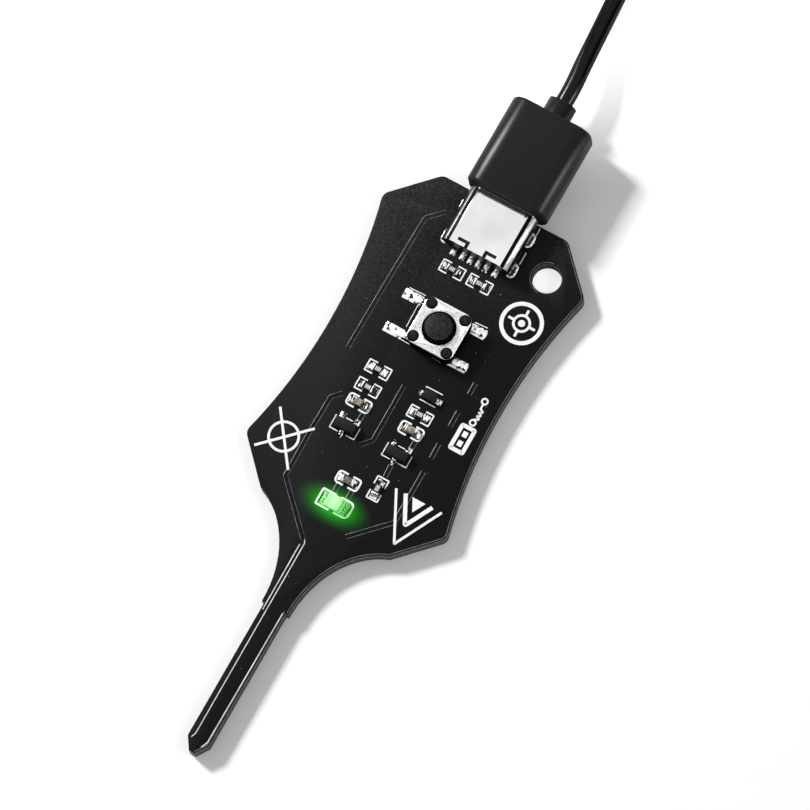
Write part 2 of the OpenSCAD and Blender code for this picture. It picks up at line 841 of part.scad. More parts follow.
// A moulded body whose four sides slope in from the mould's parting line
module moulded_body(length, width, height) {
    low = body_stand;
    mid = (height + body_stand) / 2;
    intersection() {
        translate([0, width / 2, 0])
            rotate([90, 0, 0]) linear_extrude(width) side_section(length, low, mid, height);
        translate([-length / 2, 0, 0])
            rotate([90, 0, 90]) linear_extrude(length) side_section(width, low, mid, height);
    }
}

module side_section(size, low, mid, high) {
    half = size / 2;
    polygon([
        [-half + draft, low], [half - draft, low], [half, mid],
        [half - draft, high], [-half + draft, high], [-half, mid]
    ]);
}

// A lead leaves the body at its parting line, steps down and ends in a flat foot
module gull_lead(half_body, half_span, height) {
    mid = (height + body_stand) / 2;
    foot = foot_share * (half_span - half_body) + foot_least;
    knee = half_span - foot;
    t = lead_thickness;
    translate([0, lead_width / 2, 0])
        rotate([90, 0, 0])
            linear_extrude(lead_width)
                polygon([
                    [half_body, mid - t / 2], [knee - t, mid - t / 2], [knee - t, 0],
                    [half_span, 0], [half_span, t], [knee, t], [knee, mid + t / 2],
                    [half_body, mid + t / 2]
                ]);
}

module transistor(x) {
    color(plastic_colour)
        translate([x, transistor_y, part_z])
            moulded_body(transistor_length, transistor_width, transistor_height);
}

module transistor_leads() {
    color(tin_colour)
        for (x = transistor_xs)
            for (lead = transistor_leads_at)
                translate([x + lead[0], transistor_y, part_z])
                    rotate(90 * lead[1])
                        gull_lead(transistor_width / 2, transistor_span / 2, transistor_height);
}

module diode() {
    color(plastic_colour)
        translate([column_side, row_ys[0], part_z])
            moulded_body(diode_length, diode_width, diode_height);
}

module diode_leads() {
    color(tin_colour)
        for (turn = [0, 180])
            translate([column_side, row_ys[0], part_z])
                rotate(turn) gull_lead(diode_length / 2, diode_span / 2, diode_height);
}

// Lamp

module lamp_carrier() {
    color("#e8ead8")
        translate([-lamp_length / 2 + cap_wall, lamp_y - lamp_width / 2, part_z + cap_wall])
            cube([lamp_length - 2 * cap_wall, lamp_width, lamp_base - 2 * cap_wall]);
}

module lamp_terminals() {
    color("#d8c27a")
        translate([0, lamp_y, part_z]) end_caps(lamp_length, lamp_width, lamp_base, lamp_cap);
}

// The clear block narrows a little towards its top
module lamp_block_clear() {
    half = lamp_block / 2;
    low = lamp_base - cap_wall;
    color("#8dff8d", 0.8)
        translate([0, lamp_y + lamp_width / 2, part_z])
            rotate([90, 0, 0])
                linear_extrude(lamp_width)
                    polygon([[-half, low], [half, low], [half - draft, lamp_height],
                        [-half + draft, lamp_height]]);
}

// Plug in the socket

module plug_shell() {
    color(metal_colour)
        difference() {
            along_y(plug_tip, socket_z, plug_reach) round_ended(plug_width, plug_height);
            along_y(plug_tip - OVER, socket_z, plug_reach + 2 * OVER)
                round_ended(plug_width - 2 * plug_wall, plug_height - 2 * plug_wall);
        }
}

module plug_contact_strips() {
    gap = tongue_thickness / 2 + tongue_slack;
    for (x = contact_places)
        for (level = [-gap - contact_thickness, gap])
            translate([x - contact_width / 2, plug_tip + plug_contact_from, socket_z + level])
                cube([contact_width, plug_contact_length, contact_thickness]);
}

module plug_contacts() {
    color("#c9a45a") plug_contact_strips();
}

// The plug's moulding fills its shell and leaves a slot for the tongue
module plug_moulding() {
    slot_depth = tongue_root + tongue_length - plug_tip + tongue_end_slack;
    color(plastic_colour)
        difference() {
            along_y(plug_tip + EPS, socket_z, plug_reach - EPS)
                round_ended(plug_width - 2 * plug_wall, plug_height - 2 * plug_wall);
            along_y(plug_tip - OVER, socket_z, slot_depth + OVER)
                square([tongue_width + 2 * tongue_slack, tongue_thickness + 2 * tongue_slack],
                    center = true);
            plug_contact_strips();
        }
}

// A moulded grip: a block with rounded long edges and slightly rounded ends
module grip(width, thickness, length, radius, bevel) {
    inset = [bevel, 0, 0, bevel];
    from = [0, bevel, length - bevel - EPS, length - EPS];
    hull()
        for (i = [0 : 3])
            along_y(from[i], 0, EPS)
                rounded_rectangle(width - 2 * inset[i], thickness - 2 * inset[i],
                    radius - inset[i], $fn = 32);
}

module plug_grip() {
    color(cord_colour) {
        translate([0, grip_front, socket_z])
            grip(grip_width, grip_thickness, grip_length, grip_radius, grip_bevel);
        along_y(grip_rear - EPS, socket_z, collar_length + EPS)
            circle(d = collar_diameter, $fn = 32);
    }
}

// Lead

// Rings of points square to the route, joined into one closed tube
function route_direction(route, i) =
    unit(route[min(i + 1, len(route) - 1)] - route[max(i - 1, 0)]);
function ring(route, i, radius) =
    let (
        ahead = route_direction(route, i),
        side = unit(cross(ahead, [0, 0, 1])),
        up = cross(side, ahead)
    )
    [for (k = [0 : cable_sides - 1])
        let (a = 360 * (k + 0.5) / cable_sides)
        route[i] + radius * (side * cos(a) + up * sin(a))];

module tube(route, radius) {
    n = cable_sides;
    last = len(route) - 1;
    flat = radius / cos(180 / n);
    points = [for (i = [0 : last]) each ring(route, i, min(flat, radius))];
    sides = [for (i = [0 : last - 1], k = [0 : n - 1])
        [i * n + k, i * n + (k + 1) % n, (i + 1) * n + (k + 1) % n, (i + 1) * n + k]];
    start = [[for (k = [n - 1 : -1 : 0]) k]];
    end = [[for (k = [0 : n - 1]) last * n + k]];
    polyhedron(points, concat(sides, start, end), convexity = 4);
}

module cable_run() {
    color(cord_colour) tube(run_points, cable_r);
}

module cable_end() {
    color(cord_colour) tube(end_points, cable_r);
}

module cable_coil() {
    color(cord_colour)
        translate([coil_centre[0], coil_centre[1], coil_height / 2])
            rotate_extrude($fn = 64)
                translate([coil_diameter / 2, 0])
                    rounded_rectangle(coil_width, coil_height, coil_edge);
}

module coil_tie() {
    color("#2a2a2c")
        translate([coil_centre[0], coil_centre[1], coil_height / 2])
            rotate(tie_angle)
                translate([coil_diameter / 2, tie_width / 2, 0])
                    rotate([90, 0, 0])
                        linear_extrude(tie_width)
                            difference() {
                                translate([0, tie_thickness / 2])
                                    rounded_rectangle(coil_width + 2 * tie_thickness,
                                        coil_height + tie_thickness, cable_r);
                                translate([0, tie_thickness / 2])
                                    rounded_rectangle(coil_width, coil_height - tie_thickness,
                                        coil_edge);
                            }
}

// Far plug, lying beside the coil

module far_plug_shell() {
    inner = [far_width - 2 * far_wall, far_height - 2 * far_wall];
    color(metal_colour)
        translate([far_x, 0, 0])
            difference() {
                along_y(far_tip, far_z, far_reach)
                    rounded_rectangle(far_width, far_height, far_shell_radius);
                along_y(far_tip - OVER, far_z, far_reach + 2 * OVER) square(inner, center = true);
                for (side = [-1, 1])
                    translate([side * far_width / 4 - far_window_width / 2,
                        far_tip + far_window_from, far_z - far_height / 2 - OVER])
                        cube([far_window_width, far_window_length, far_height + 2 * OVER]);
            }
}

// The moulding fills the upper half of the shell and holds four contacts on its lower face
far_face_z = far_z + far_height / 2 - far_wall - far_moulding_height;
module far_contact_strips() {
    for (x = far_contacts_at)
        translate([far_x + x - far_contact_width / 2, far_tip + far_contact_from, far_face_z])
            cube([far_contact_width, far_contact_length, far_contact_thickness]);
}

module far_plug_contacts() {
    color("#c9a45a") far_contact_strips();
}

module far_plug_moulding() {
    color("#e9e9e6")
        difference() {
            translate([far_x - far_width / 2 + far_wall,
                far_tip + far_moulding_set_back, far_face_z])
                cube([far_width - 2 * far_wall, far_reach - far_moulding_set_back,
                    far_moulding_height]);
            far_contact_strips();
        }
}

module far_plug_grip() {
    color(cord_colour)
        translate([far_x, far_grip_front, far_z]) {
            grip(far_grip_width, far_grip_thickness, far_grip_length, far_grip_radius,
                far_grip_bevel);
            along_y(far_grip_length - EPS, 0, far_collar_length + EPS)
                circle(d = far_collar_diameter, $fn = 32);
        }
}

circuit_board();
solder_pads();
solder_fillets();
socket_shell();
socket_moulding();
socket_contacts();
switch_base();
switch_terminals();
switch_dome();
switch_button();
switch_cover();
chip_core(left_pull_down, "#2b2b2e");  // left_pull_down_resistor
chip_core(right_pull_down, "#2b2b2e");  // right_pull_down_resistor
chip_core(left_upper, "#2b2b2e");  // left_upper_resistor
chip_core(left_lower, "#2b2b2e");  // left_lower_resistor
chip_core(right_lower, "#2b2b2e");  // right_resistor
chip_core(turned, "#2b2b2e");  // turned_resistor
chip_core(by_lamp, "#2b2b2e");  // lamp_resistor
chip_core(left_store, "#9a8f86");  // left_capacitor
chip_core(right_store, "#9a8f86");  // right_capacitor
chip_end_caps();
transistor(transistor_xs[0]);  // left_transistor
transistor(transistor_xs[1]);  // right_transistor
transistor_leads();
diode();
diode_leads();
lamp_carrier();
lamp_terminals();
lamp_block_clear();
plug_shell();
plug_moulding();
plug_contacts();
plug_grip();
cable_run();
cable_coil();
cable_end();
coil_tie();
far_plug_shell();
far_plug_moulding();
far_plug_contacts();
far_plug_grip();
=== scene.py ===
"""Ignition coil tester: its finishes, printed legend, copper tracks, lead and lit lamp."""
import math

import bmesh
import bpy
from mathutils import Matrix, Vector


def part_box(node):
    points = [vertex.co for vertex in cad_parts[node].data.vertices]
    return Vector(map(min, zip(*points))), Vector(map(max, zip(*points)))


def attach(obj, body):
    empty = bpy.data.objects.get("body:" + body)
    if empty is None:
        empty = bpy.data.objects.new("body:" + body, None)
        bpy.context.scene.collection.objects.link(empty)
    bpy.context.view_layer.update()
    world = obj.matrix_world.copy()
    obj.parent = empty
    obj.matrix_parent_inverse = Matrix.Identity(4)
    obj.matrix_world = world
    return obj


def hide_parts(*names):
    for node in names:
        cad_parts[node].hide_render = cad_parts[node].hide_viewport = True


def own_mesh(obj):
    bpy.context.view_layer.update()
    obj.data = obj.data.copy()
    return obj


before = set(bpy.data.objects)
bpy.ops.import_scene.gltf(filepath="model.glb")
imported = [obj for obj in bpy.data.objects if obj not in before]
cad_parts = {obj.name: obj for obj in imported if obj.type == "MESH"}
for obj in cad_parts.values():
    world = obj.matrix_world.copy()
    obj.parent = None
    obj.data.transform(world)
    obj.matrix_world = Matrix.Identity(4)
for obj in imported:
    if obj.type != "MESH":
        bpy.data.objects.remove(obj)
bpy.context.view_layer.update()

MM = 0.001
FIXED = "tester"
PRESSED = "button"
BOARD_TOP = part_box("circuit_board")[1].z / MM
# A Mix node's sockets share their names, so its colours and its plain values go by their places
COLOUR_A, COLOUR_B, COLOUR_OUT = 6, 7, 2
VALUE_A, VALUE_B = 2, 3


# Small helpers

def linear(colour):
    """An sRGB hex colour as the linear values that the shaders take."""
    parts = [int(colour[i:i + 2], 16) / 255 for i in (1, 3, 5)]
    return [p / 12.92 if p <= 0.04045 else ((p + 0.055) / 1.055) ** 2.4 for p in parts] + [1.0]


def feed(node, key, source):
    """Links a node's input to an output: the one given, or the first of the node given."""
    if isinstance(source, bpy.types.Node):
        source = source.outputs[0]
    node.id_data.links.new(source, node.inputs[key])


def add_node(tree, kind, inputs=None, stops=(), **settings):
    """Adds a node with its settings; each input is given a value, or what feeds it.

    A colour ramp also takes its stops, each a place along it and an sRGB colour.
    """
    made = tree.nodes.new(kind)
    for name, value in settings.items():
        setattr(made, name, value)
    for key, value in (inputs or {}).items():
        if isinstance(value, (bpy.types.Node, bpy.types.NodeSocket)):
            feed(made, key, value)
        else:
            made.inputs[key].default_value = value
    if stops:
        shades = made.color_ramp.elements
        for shade, (place, colour) in zip(shades, (stops[0], stops[-1])):
            shade.position = place
            shade.color = linear(colour)
        for place, colour in stops[1:-1]:
            shades.new(place).color = linear(colour)
    return made


def linked(name, data):
    """A new object in the scene."""
    made = bpy.data.objects.new(name, data)
    bpy.context.collection.objects.link(made)
    return made


def finished_mesh(shaped):
    """What an object's modifiers make of it, as a plain mesh; the object itself goes."""
    graph = bpy.context.evaluated_depsgraph_get()
    mesh = bpy.data.meshes.new_from_object(shaped.evaluated_get(graph),
                                           preserve_all_data_layers=True, depsgraph=graph)
    bpy.data.objects.remove(shaped)
    return mesh


def made_by(tree, name, mesh, inputs):
    """What a Geometry Nodes tree makes of a mesh, with its named inputs set."""
    shaped = linked(name, mesh)
    modifier = shaped.modifiers.new(tree.name, "NODES")
    modifier.node_group = tree
    identifiers = {item.name: item.identifier for item in tree.interface.items_tree
                   if item.in_out == "INPUT"}
    for title, value in inputs.items():
        modifier[identifiers[title]] = value
    return finished_mesh(shaped)


def piece(name, mesh, materials=(), body=FIXED, stands_for=()):
    """A finished piece at the origin, riding on its body."""
    made = linked(name, mesh)
    for material in materials:
        mesh.materials.append(material)
    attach(made, body)
    if stands_for:
        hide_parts(*stands_for)
    return made


def centre_of(node):
    """Middle of a CAD node's box, in millimetres."""
    low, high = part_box(node)
    return (low + high) / 2 / MM


# Camera: the photograph's own viewing angle, in the board's frame

CAMERA_PLACE = Vector((0.14516, -0.13549, 0.80093))
CAMERA_TARGET = Vector((0.00131, 0.01055, 0.002))
CAMERA_UP = Vector((-0.4646, 0.852, 0.2413))
CAMERA_LENS = 318.8
CLIP_NEAR = 0.05
CLIP_FAR = 20

ahead = (CAMERA_TARGET - CAMERA_PLACE).normalized()
across = ahead.cross(CAMERA_UP).normalized()
upward = across.cross(ahead)
camera_data = bpy.data.cameras.new("camera")
camera_data.lens = CAMERA_LENS
camera_data.clip_start = CLIP_NEAR
camera_data.clip_end = CLIP_FAR
camera = linked("camera", camera_data)
camera.matrix_world = (Matrix.Translation(CAMERA_PLACE)
                       @ Matrix((across, upward, -ahead)).transposed().to_4x4())
bpy.context.scene.camera = camera
bpy.context.scene.view_settings.view_transform = "Standard"


# Materials, each named for what the real one is and how its surface was made, or for the painted
# light or shade it carries

def new_material(name, colour, roughness, shine=0.5, **values):
    """A material with the plain values of its shader set; gives its tree and shader too."""
    made = bpy.data.materials.new(name)
    made.use_nodes = True
    shader = made.node_tree.nodes["Principled BSDF"]
    values = {"Base Color": linear(colour), "Roughness": roughness, "Specular IOR Level": shine,
              **{key.replace("_", " ").title(): value for key, value in values.items()}}
    for socket, value in values.items():
        shader.inputs[socket].default_value = value
    return made, made.node_tree, shader


def noise_over(tree, spacing, detail):
    """Noise that stays with the object, its lumps `spacing` millimetres apart."""
    place = add_node(tree, "ShaderNodeTexCoord").outputs["Object"]
    return add_node(tree, "ShaderNodeTexNoise",
                    {"Vector": place, "Scale": 1 / (spacing * MM), "Detail": detail})


def shares_from(tree, centre, lengths):
    """How far a point lies from a centre, as shares of three lengths in millimetres."""
    place = add_node(tree, "ShaderNodeTexCoord").outputs["Object"]
    away = add_node(tree, "ShaderNodeVectorMath", {0: place, 1: centre}, operation="SUBTRACT")
    return add_node(tree, "ShaderNodeVectorMath",
                    {0: away, 1: [1 / (length * MM) for length in lengths]}, operation="MULTIPLY")


def grain_bump(tree, shader, grain, depth, detail=3.0):
    """An uneven surface, with bumps `grain` millimetres apart and `depth` millimetres deep."""
    noise = noise_over(tree, grain, detail)
    feed(shader, "Normal",
         add_node(tree, "ShaderNodeBump", {"Height": noise, "Distance": depth * MM}))
    return noise


def mottled_colour(tree, shader, patch, dark, light, low=0.35, high=0.65):
    """Colour that drifts between two shades in patches `patch` millimetres across."""
    ramp = add_node(tree, "ShaderNodeValToRGB", {"Fac": noise_over(tree, patch, detail=4.0)},
                    stops=[(low, dark), (high, light)])
    feed(shader, "Base Color", ramp)
    return ramp


def blended_colour(tree, shader, share, first, second, blend="MIX"):
    """Colour that goes from one shade to another as a share rises from 0 to 1."""
    mix = add_node(tree, "ShaderNodeMix", {0: share, COLOUR_A: first, COLOUR_B: second},
                   data_type="RGBA", blend_type=blend)
    feed(shader, "Base Color", mix.outputs[COLOUR_OUT])


# The lamp's light, painted as emission on the parts round it, lies in an oval, longer along the
# lamp than across it, and fades to its rim
GLOW_OFFSET = Vector((0, -0.25, 0))
GLOW_CENTRE = (centre_of("lamp_block_clear") + GLOW_OFFSET) * MM
GLOW_HALF_AXES = (4.9, 2.7, 4.9)
GLOW_STOPS = [(0.4, "#149f14"), (0.54, "#067a06"), (0.7, "#004e00"), (0.86, "#002600"),
              (1.0, "#000000")]
# Where the painted reflection of the lamp on metal fades out, as shares of that oval
MIRRORED_TO = (0.45, 0.75)


def share_of_glow(tree):
    """0 at the lamp's middle, and 1 where its light ends."""
    shares = shares_from(tree, GLOW_CENTRE, GLOW_HALF_AXES)
    return add_node(tree, "ShaderNodeVectorMath", {0: shares}, operation="LENGTH").outputs["Value"]


def lamp_glow(tree, shader, brightness):
    """The lamp's green light, painted as emission on what lies round it."""
    feed(shader, "Emission Color", add_node(tree, "ShaderNodeValToRGB",
                                            {"Fac": share_of_glow(tree)}, stops=GLOW_STOPS))
    shader.inputs["Emission Strength"].default_value = brightness


def green_near_lamp(tree, shader):
    """Painted reflection: bright metal beside the lamp is tinted green, with the lamp's light
    painted on.
    """
    share = add_node(tree, "ShaderNodeMapRange",
                     {"Value": share_of_glow(tree), "From Min": MIRRORED_TO[0],
                      "From Max": MIRRORED_TO[1], "To Min": 1.0, "To Max": 0.0})
    coloured = shader.inputs["Base Color"].links[0].from_socket
    blended_colour(tree, shader, share, coloured, linear("#4fbf4a"), blend="MULTIPLY")
    lamp_glow(tree, shader, 0.5)


def even_finish(name, colour, roughness, grain=None, mottle=None, glow=None, **values):
    """A finish that is alike all over a part.

    `grain` is how far apart and how deep its bumps are, in millimetres. `mottle` is how wide its
    patches are, their dark and light colours and, where it isn't the usual, the range of the noise
    that blends them. `glow` is how brightly the lamp's light is painted on it, as emission.
    """
    made, tree, shader = new_material(name, colour, roughness, **values)
    if grain:
        grain_bump(tree, shader, *grain)
    if mottle:
        mottled_colour(tree, shader, *mottle)
    if glow:
        lamp_glow(tree, shader, glow)
    return made


# How far towards the lanyard hole's corner, measured as y - x in millimetres, a painted sheen
# lightens the mask
SHEEN_PAINTED_FROM = 14
SHEEN_PAINTED_TO = 46


def solder_mask():
    """Matt black solder mask, screen coated: fine orange peel, with a painted sheen that lightens
    it away from the probe, and the lamp's light painted on round the lamp.
    """
    made, tree, shader = new_material("solder mask, screen coated", "#0b0b0c", 0.5, shine=0.09)
    grain_bump(tree, shader, 0.13, 0.01)
    dark = mottled_colour(tree, shader, 0.2, "#020203", "#0d0d0e")
    # Painted sheen: the mask lightens, its grain showing, towards the lanyard hole's corner
    place = add_node(tree, "ShaderNodeTexCoord").outputs["Object"]
    parts = add_node(tree, "ShaderNodeSeparateXYZ", {"Vector": place}).outputs
    towards_sheen = add_node(tree, "ShaderNodeMath", {0: parts["Y"], 1: parts["X"]}, operation="SUBTRACT")
    share = add_node(tree, "ShaderNodeMapRange",
                     {"Value": towards_sheen, "From Min": SHEEN_PAINTED_FROM * MM, "From Max": SHEEN_PAINTED_TO * MM})
    speckled = mottled_colour(tree, shader, 0.16, "#0b0b0b", "#31312f", low=0.4, high=0.6)
    blended_colour(tree, shader, share, dark, speckled)
    lamp_glow(tree, shader, 1.0)
    return made


def routed_laminate():
    """Glass-epoxy board cut by a router: grey sides with fine tool marks, and painted shade low
    down.
    """
    made, tree, shader = new_material("glass-epoxy laminate, routed", "#5c5c5e", 0.6, shine=0.2)
    grain_bump(tree, shader, 0.15, 0.01)
    grey = mottled_colour(tree, shader, 0.5, "#565658", "#77777a")
    place = add_node(tree, "ShaderNodeTexCoord").outputs["Object"]
    height = add_node(tree, "ShaderNodeSeparateXYZ", {"Vector": place}).outputs["Z"]
    # Painted shade: the sides darken towards the floor
    painted_shade_low = add_node(tree, "ShaderNodeMapRange",
                        {"Value": height, "From Min": 0.0, "From Max": BOARD_TOP * MM,
                         "To Min": 0.85, "To Max": 0.0})
    blended_colour(tree, shader, painted_shade_low, grey, linear("#18181a"))
    return made


def reflowed_solder():
    """Tin-silver solder that has been melted: bright and wavy, with a few dark patches."""
    made, tree, shader = new_material("tin solder, reflowed", "#f0f0f2", 0.3, metallic=1.0)
    waves = grain_bump(tree, shader, 0.5, 0.05, detail=1.0)
    feed(shader, "Roughness", add_node(tree, "ShaderNodeMapRange",
                                       {"Value": waves, "To Min": 0.2, "To Max": 0.45}))
    mottled_colour(tree, shader, 0.52, "#262627", "#fafafa", low=0.39, high=0.46)
    return made


def wicked_solder(name, streak, dark, light, low, high):
    """Solder drawn up a small end: bright ridges, with painted shade darkening the hollows.

    `streak` is how long they are each way, in millimetres.
    """
    made, tree, shader = new_material(name, light, 0.3, metallic=0.9)
    noise = add_node(tree, "ShaderNodeTexNoise",
                     {"Vector": shares_from(tree, (0, 0, 0), streak), "Scale": 1.0, "Detail": 1.0})
    feed(shader, "Normal",
         add_node(tree, "ShaderNodeBump", {"Height": noise, "Distance": 0.04 * MM}))
    feed(shader, "Base Color", add_node(tree, "ShaderNodeValToRGB", {"Fac": noise},
                                        stops=[(low, dark), (high, light)]))
    green_near_lamp(tree, shader)
    return made


# The switch's four rivets: how far apart, how wide their heads, and how wide the painted shade at
# each rim
RIVET_PITCH = 4.4
RIVET_HEAD = 1.4
RIVET_RING = 0.16


def riveted_nylon():
    """The switch's base: its four posts are spread hot over the plate, with painted shade as black
    rims.
    """
    made, tree, shader = new_material("glass-filled nylon, riveted hot", "#101011", 0.5, shine=0.1)
    grain_bump(tree, shader, 0.25, 0.03)
    mottle = mottled_colour(tree, shader, 0.4, "#0a0a0b", "#2a2a2b", low=0.45, high=0.7)
    middle = centre_of("switch_cover") * MM
    half_pitch = RIVET_PITCH / 2 * MM
    reached = add_node(tree, "ShaderNodeTexCoord").outputs["Object"]
    for operation, operand in (("SUBTRACT", middle), ("ABSOLUTE", None),
                               ("SUBTRACT", (half_pitch, half_pitch, 0)),
                               ("MULTIPLY", (1, 1, 0))):
        operands = {0: reached, 1: operand} if operand else {0: reached}
        reached = add_node(tree, "ShaderNodeVectorMath", operands, operation=operation)
    radius = add_node(tree, "ShaderNodeVectorMath", {0: reached}, operation="LENGTH")
    # Painted shade: a black ring round each rivet head's rim
    rim = add_node(tree, "ShaderNodeMapRange",
                   {"Value": radius.outputs["Value"],
                    "From Min": (RIVET_HEAD / 2 - 2 * RIVET_RING) * MM,
                    "From Max": (RIVET_HEAD / 2 - RIVET_RING) * MM})
    blended_colour(tree, shader, rim, mottle, linear("#010101"))
    return made


def lit_epoxy():
    """Clear epoxy over a lit green chip: nearly white at the chip, deep green at its ends."""
    made, tree, shader = new_material("clear epoxy, cast and lit green", "#8fd98a", 0.2, shine=0.3,
                                      emission_strength=0.6)
    grain_bump(tree, shader, 0.3, 0.01)
    low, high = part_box("lamp_block_clear")
    shares = shares_from(tree, (low + high) / 2, (high - low) / 2 / MM)
    along = add_node(tree, "ShaderNodeSeparateXYZ", {"Vector": shares})
    from_chip = add_node(tree, "ShaderNodeMath", {0: along}, operation="ABSOLUTE")
    feed(shader, "Emission Color",
         add_node(tree, "ShaderNodeValToRGB", {"Fac": from_chip},
                  stops=[(0.25, "#c6ffbd"), (0.6, "#7fe676"), (0.95, "#2f9a2e")]))
    return made


def woven_strap():
    """Nylon strap, woven, with its loops brushed up: dull and ribbed across."""
    made, tree, shader = new_material("nylon strap, woven", "#242426", 0.85, sheen_weight=0.3)
    place = add_node(tree, "ShaderNodeTexCoord").outputs["Object"]
    weave = add_node(tree, "ShaderNodeTexVoronoi", {"Vector": place, "Scale": 1 / (0.35 * MM)})
    feed(shader, "Normal",
         add_node(tree, "ShaderNodeBump", {"Height": weave, "Distance": 0.08 * MM}))
    return made


MASK = solder_mask()
# The same mask where it runs down a track's side: thin there, so lighter, and its lighter colour
# also paints the glint of the copper's edge
COPPER_EDGE = even_finish("solder mask thin over a copper edge, with painted glint", "#77777a", 0.35,
                          mottle=(0.6, "#48484a", "#8c8c90"))
# Nearly white lines on the probe: tin levelled by hot air on its bare copper edges, whose whiteness
# also paints the highlight those edges catch
TIN_LINES_AND_HIGHLIGHT = even_finish("tin, hot air levelled, with painted highlight", "#dedee0", 0.4,
                          mottle=(1.4, "#c4c4c6", "#f0f0f0"), metallic=0.2)
LAMINATE = routed_laminate()
# Where the mask's coat ends, a little way in from every edge: a lighter colour paints the highlight
# its slope catches
MASK_RIM_PAINTED_HIGHLIGHT = even_finish("solder mask where its coat ends, painted highlight", "#5c5c5f", 0.4,
                       mottle=(0.9, "#48484a", "#77777a"))
# White epoxy ink: matt, a little uneven in thickness, with the lamp's light painted on near the
# lamp
INK = even_finish("epoxy legend ink, screen printed", "#f6f6f6", 0.62, grain=(0.12, 0.008),
                  mottle=(0.25, "#ececec", "#fdfdfd"), glow=1.0, shine=0.2)

SOLDER = reflowed_solder()
CHIP_SOLDER = wicked_solder("tin solder, wicked up a chip's end", (0.21, 1.2, 0.8),
                            "#141415", "#fdfdfd", 0.45, 0.53)
TURNED_SOLDER = wicked_solder("tin solder, wicked up the turned chip", (1.2, 0.21, 0.8),
                              "#141415", "#fdfdfd", 0.45, 0.53)
TOE_SOLDER = wicked_solder("tin solder, wicked up a toe", (0.22, 0.3, 0.3),
                           "#161617", "#f0f0f0", 0.44, 0.54)
# Solder down a leg's slot, painted dark inside its bright ring as the shadow the leg casts there
SLOT_SOLDER_PAINTED_SHADOW = even_finish("tin solder in its slot, painted shadow", "#2c2c2e", 0.5, grain=(0.25, 0.03),
                            mottle=(0.25, "#141415", "#6a6a6c", 0.42, 0.62), metallic=0.5)
# The solder at the lamp, with the lamp's green light painted on as colour and emission
LAMP_SOLDER = even_finish("tin solder, lit green", "#5fc65a", 0.35, grain=(0.3, 0.04),
                          mottle=(0.2, "#1f6f20", "#a8eda0", 0.4, 0.55), metallic=0.3,
                          emission_color=linear("#1f8a20"), emission_strength=0.5)

# Nickel on stamped steel: a bright, faintly drawn sheet
NICKEL = even_finish("steel, stamped and nickel plated", "#f4f4f5", 0.13, grain=(0.9, 0.004),
                     mottle=(6.0, "#e9e9ea", "#fcfcfc"), metallic=1.0)
# Painted reflection: the shell's rolled sides in a dark colour that stands for the black board they
# mirror
NICKEL_PAINTED_BOARD_REFLECTION = even_finish("nickel plated steel, painted board reflection", "#2e2e30", 0.22,
                            grain=(0.9, 0.004), mottle=(2.0, "#28282a", "#48484a"), metallic=1.0)
# Painted reflection: a dark line where each bend starts, beside the bright top
NICKEL_PAINTED_DARK_LINE = even_finish("nickel plated steel, painted dark line", "#121213", 0.5, grain=(0.9, 0.004),
                          mottle=(2.0, "#0a0a0b", "#18181a"), metallic=1.0)
# Painted reflection: a pale satin band down each side
NICKEL_PAINTED_PALE_BAND = even_finish("nickel plated steel, painted pale band", "#a4a4a6", 0.42, grain=(0.3, 0.004),
                            mottle=(0.6, "#8c8c8e", "#bcbcbe"), metallic=1.0)
# Stainless sheet, punched and tumbled: satin, with a fine grain like frost
STEEL = even_finish("stainless steel, punched and tumbled", "#f0f0f0", 0.38, grain=(0.09, 0.004),
                    mottle=(0.14, "#b4b4b6", "#f4f4f5", 0.38, 0.6), metallic=1.0)
# Phosphor bronze strip, gold flashed: warm and smooth
GILT = even_finish("phosphor bronze, gold flashed", "#d8b66a", 0.25, grain=(0.3, 0.003),
                   metallic=1.0)

# Black glass-filled nylon, injection moulded: satin with a faint grain
NYLON = even_finish("glass-filled nylon, moulded", "#0e0e0f", 0.38, grain=(0.12, 0.01),
                    mottle=(0.3, "#080809", "#161617"), shine=0.2)
RIVETED = riveted_nylon()
# Black nylon from a spark-eroded mould: the button's mottled top
BUTTON_NYLON = even_finish("nylon, spark-eroded grain", "#141415", 0.5, grain=(0.2, 0.03),
                           mottle=(0.15, "#040405", "#303032", 0.4, 0.62), shine=0.12)
# Painted shade: a near-black finish on nylon and steel edges down in the gaps of the switch, where
# hardly any light gets
GAP_PAINTED_SHADE = even_finish("painted shade in the gaps", "#020202", 0.8, mottle=(0.3, "#010101", "#030303"),
                        shine=0.03)
# Epoxy moulding compound of a chip package, shot against a matt mould: dark and flat
COMPOUND = even_finish("epoxy compound, moulded", "#0e0e0f", 0.6, grain=(0.1, 0.008),
                       mottle=(0.2, "#080809", "#151516"), shine=0.15)
# Black glass glaze over a fired chip: smooth, with a soft shine
GLAZE = even_finish("glass glaze, fired", "#101011", 0.28, grain=(0.25, 0.004), shine=0.2)
# Thick film under clear glass on the lamp's resistor: grey-brown and streaked, with the lamp's
# light painted on
FILM = even_finish("thick film, fired under glass", "#5c5650", 0.35, grain=(0.2, 0.006),
                   mottle=(0.25, "#3c3833", "#7c756c"), glow=0.4)
# Barium titanate, fired and tumbled: a warm grey-tan ceramic
TITANATE = even_finish("barium titanate, fired", "#8f8478", 0.5, grain=(0.1, 0.005),
                       mottle=(0.22, "#4f4841", "#a99c8d", 0.4, 0.6))
# White epoxy laminate of the lamp's carrier, with the lamp's light from above painted on as a green
# tint and emission
CARRIER = even_finish("white epoxy laminate, pressed", "#dfeeda", 0.5, grain=(0.1, 0.004),
                      emission_color=linear("#4fd04a"), emission_strength=0.6)
LIT = lit_epoxy()

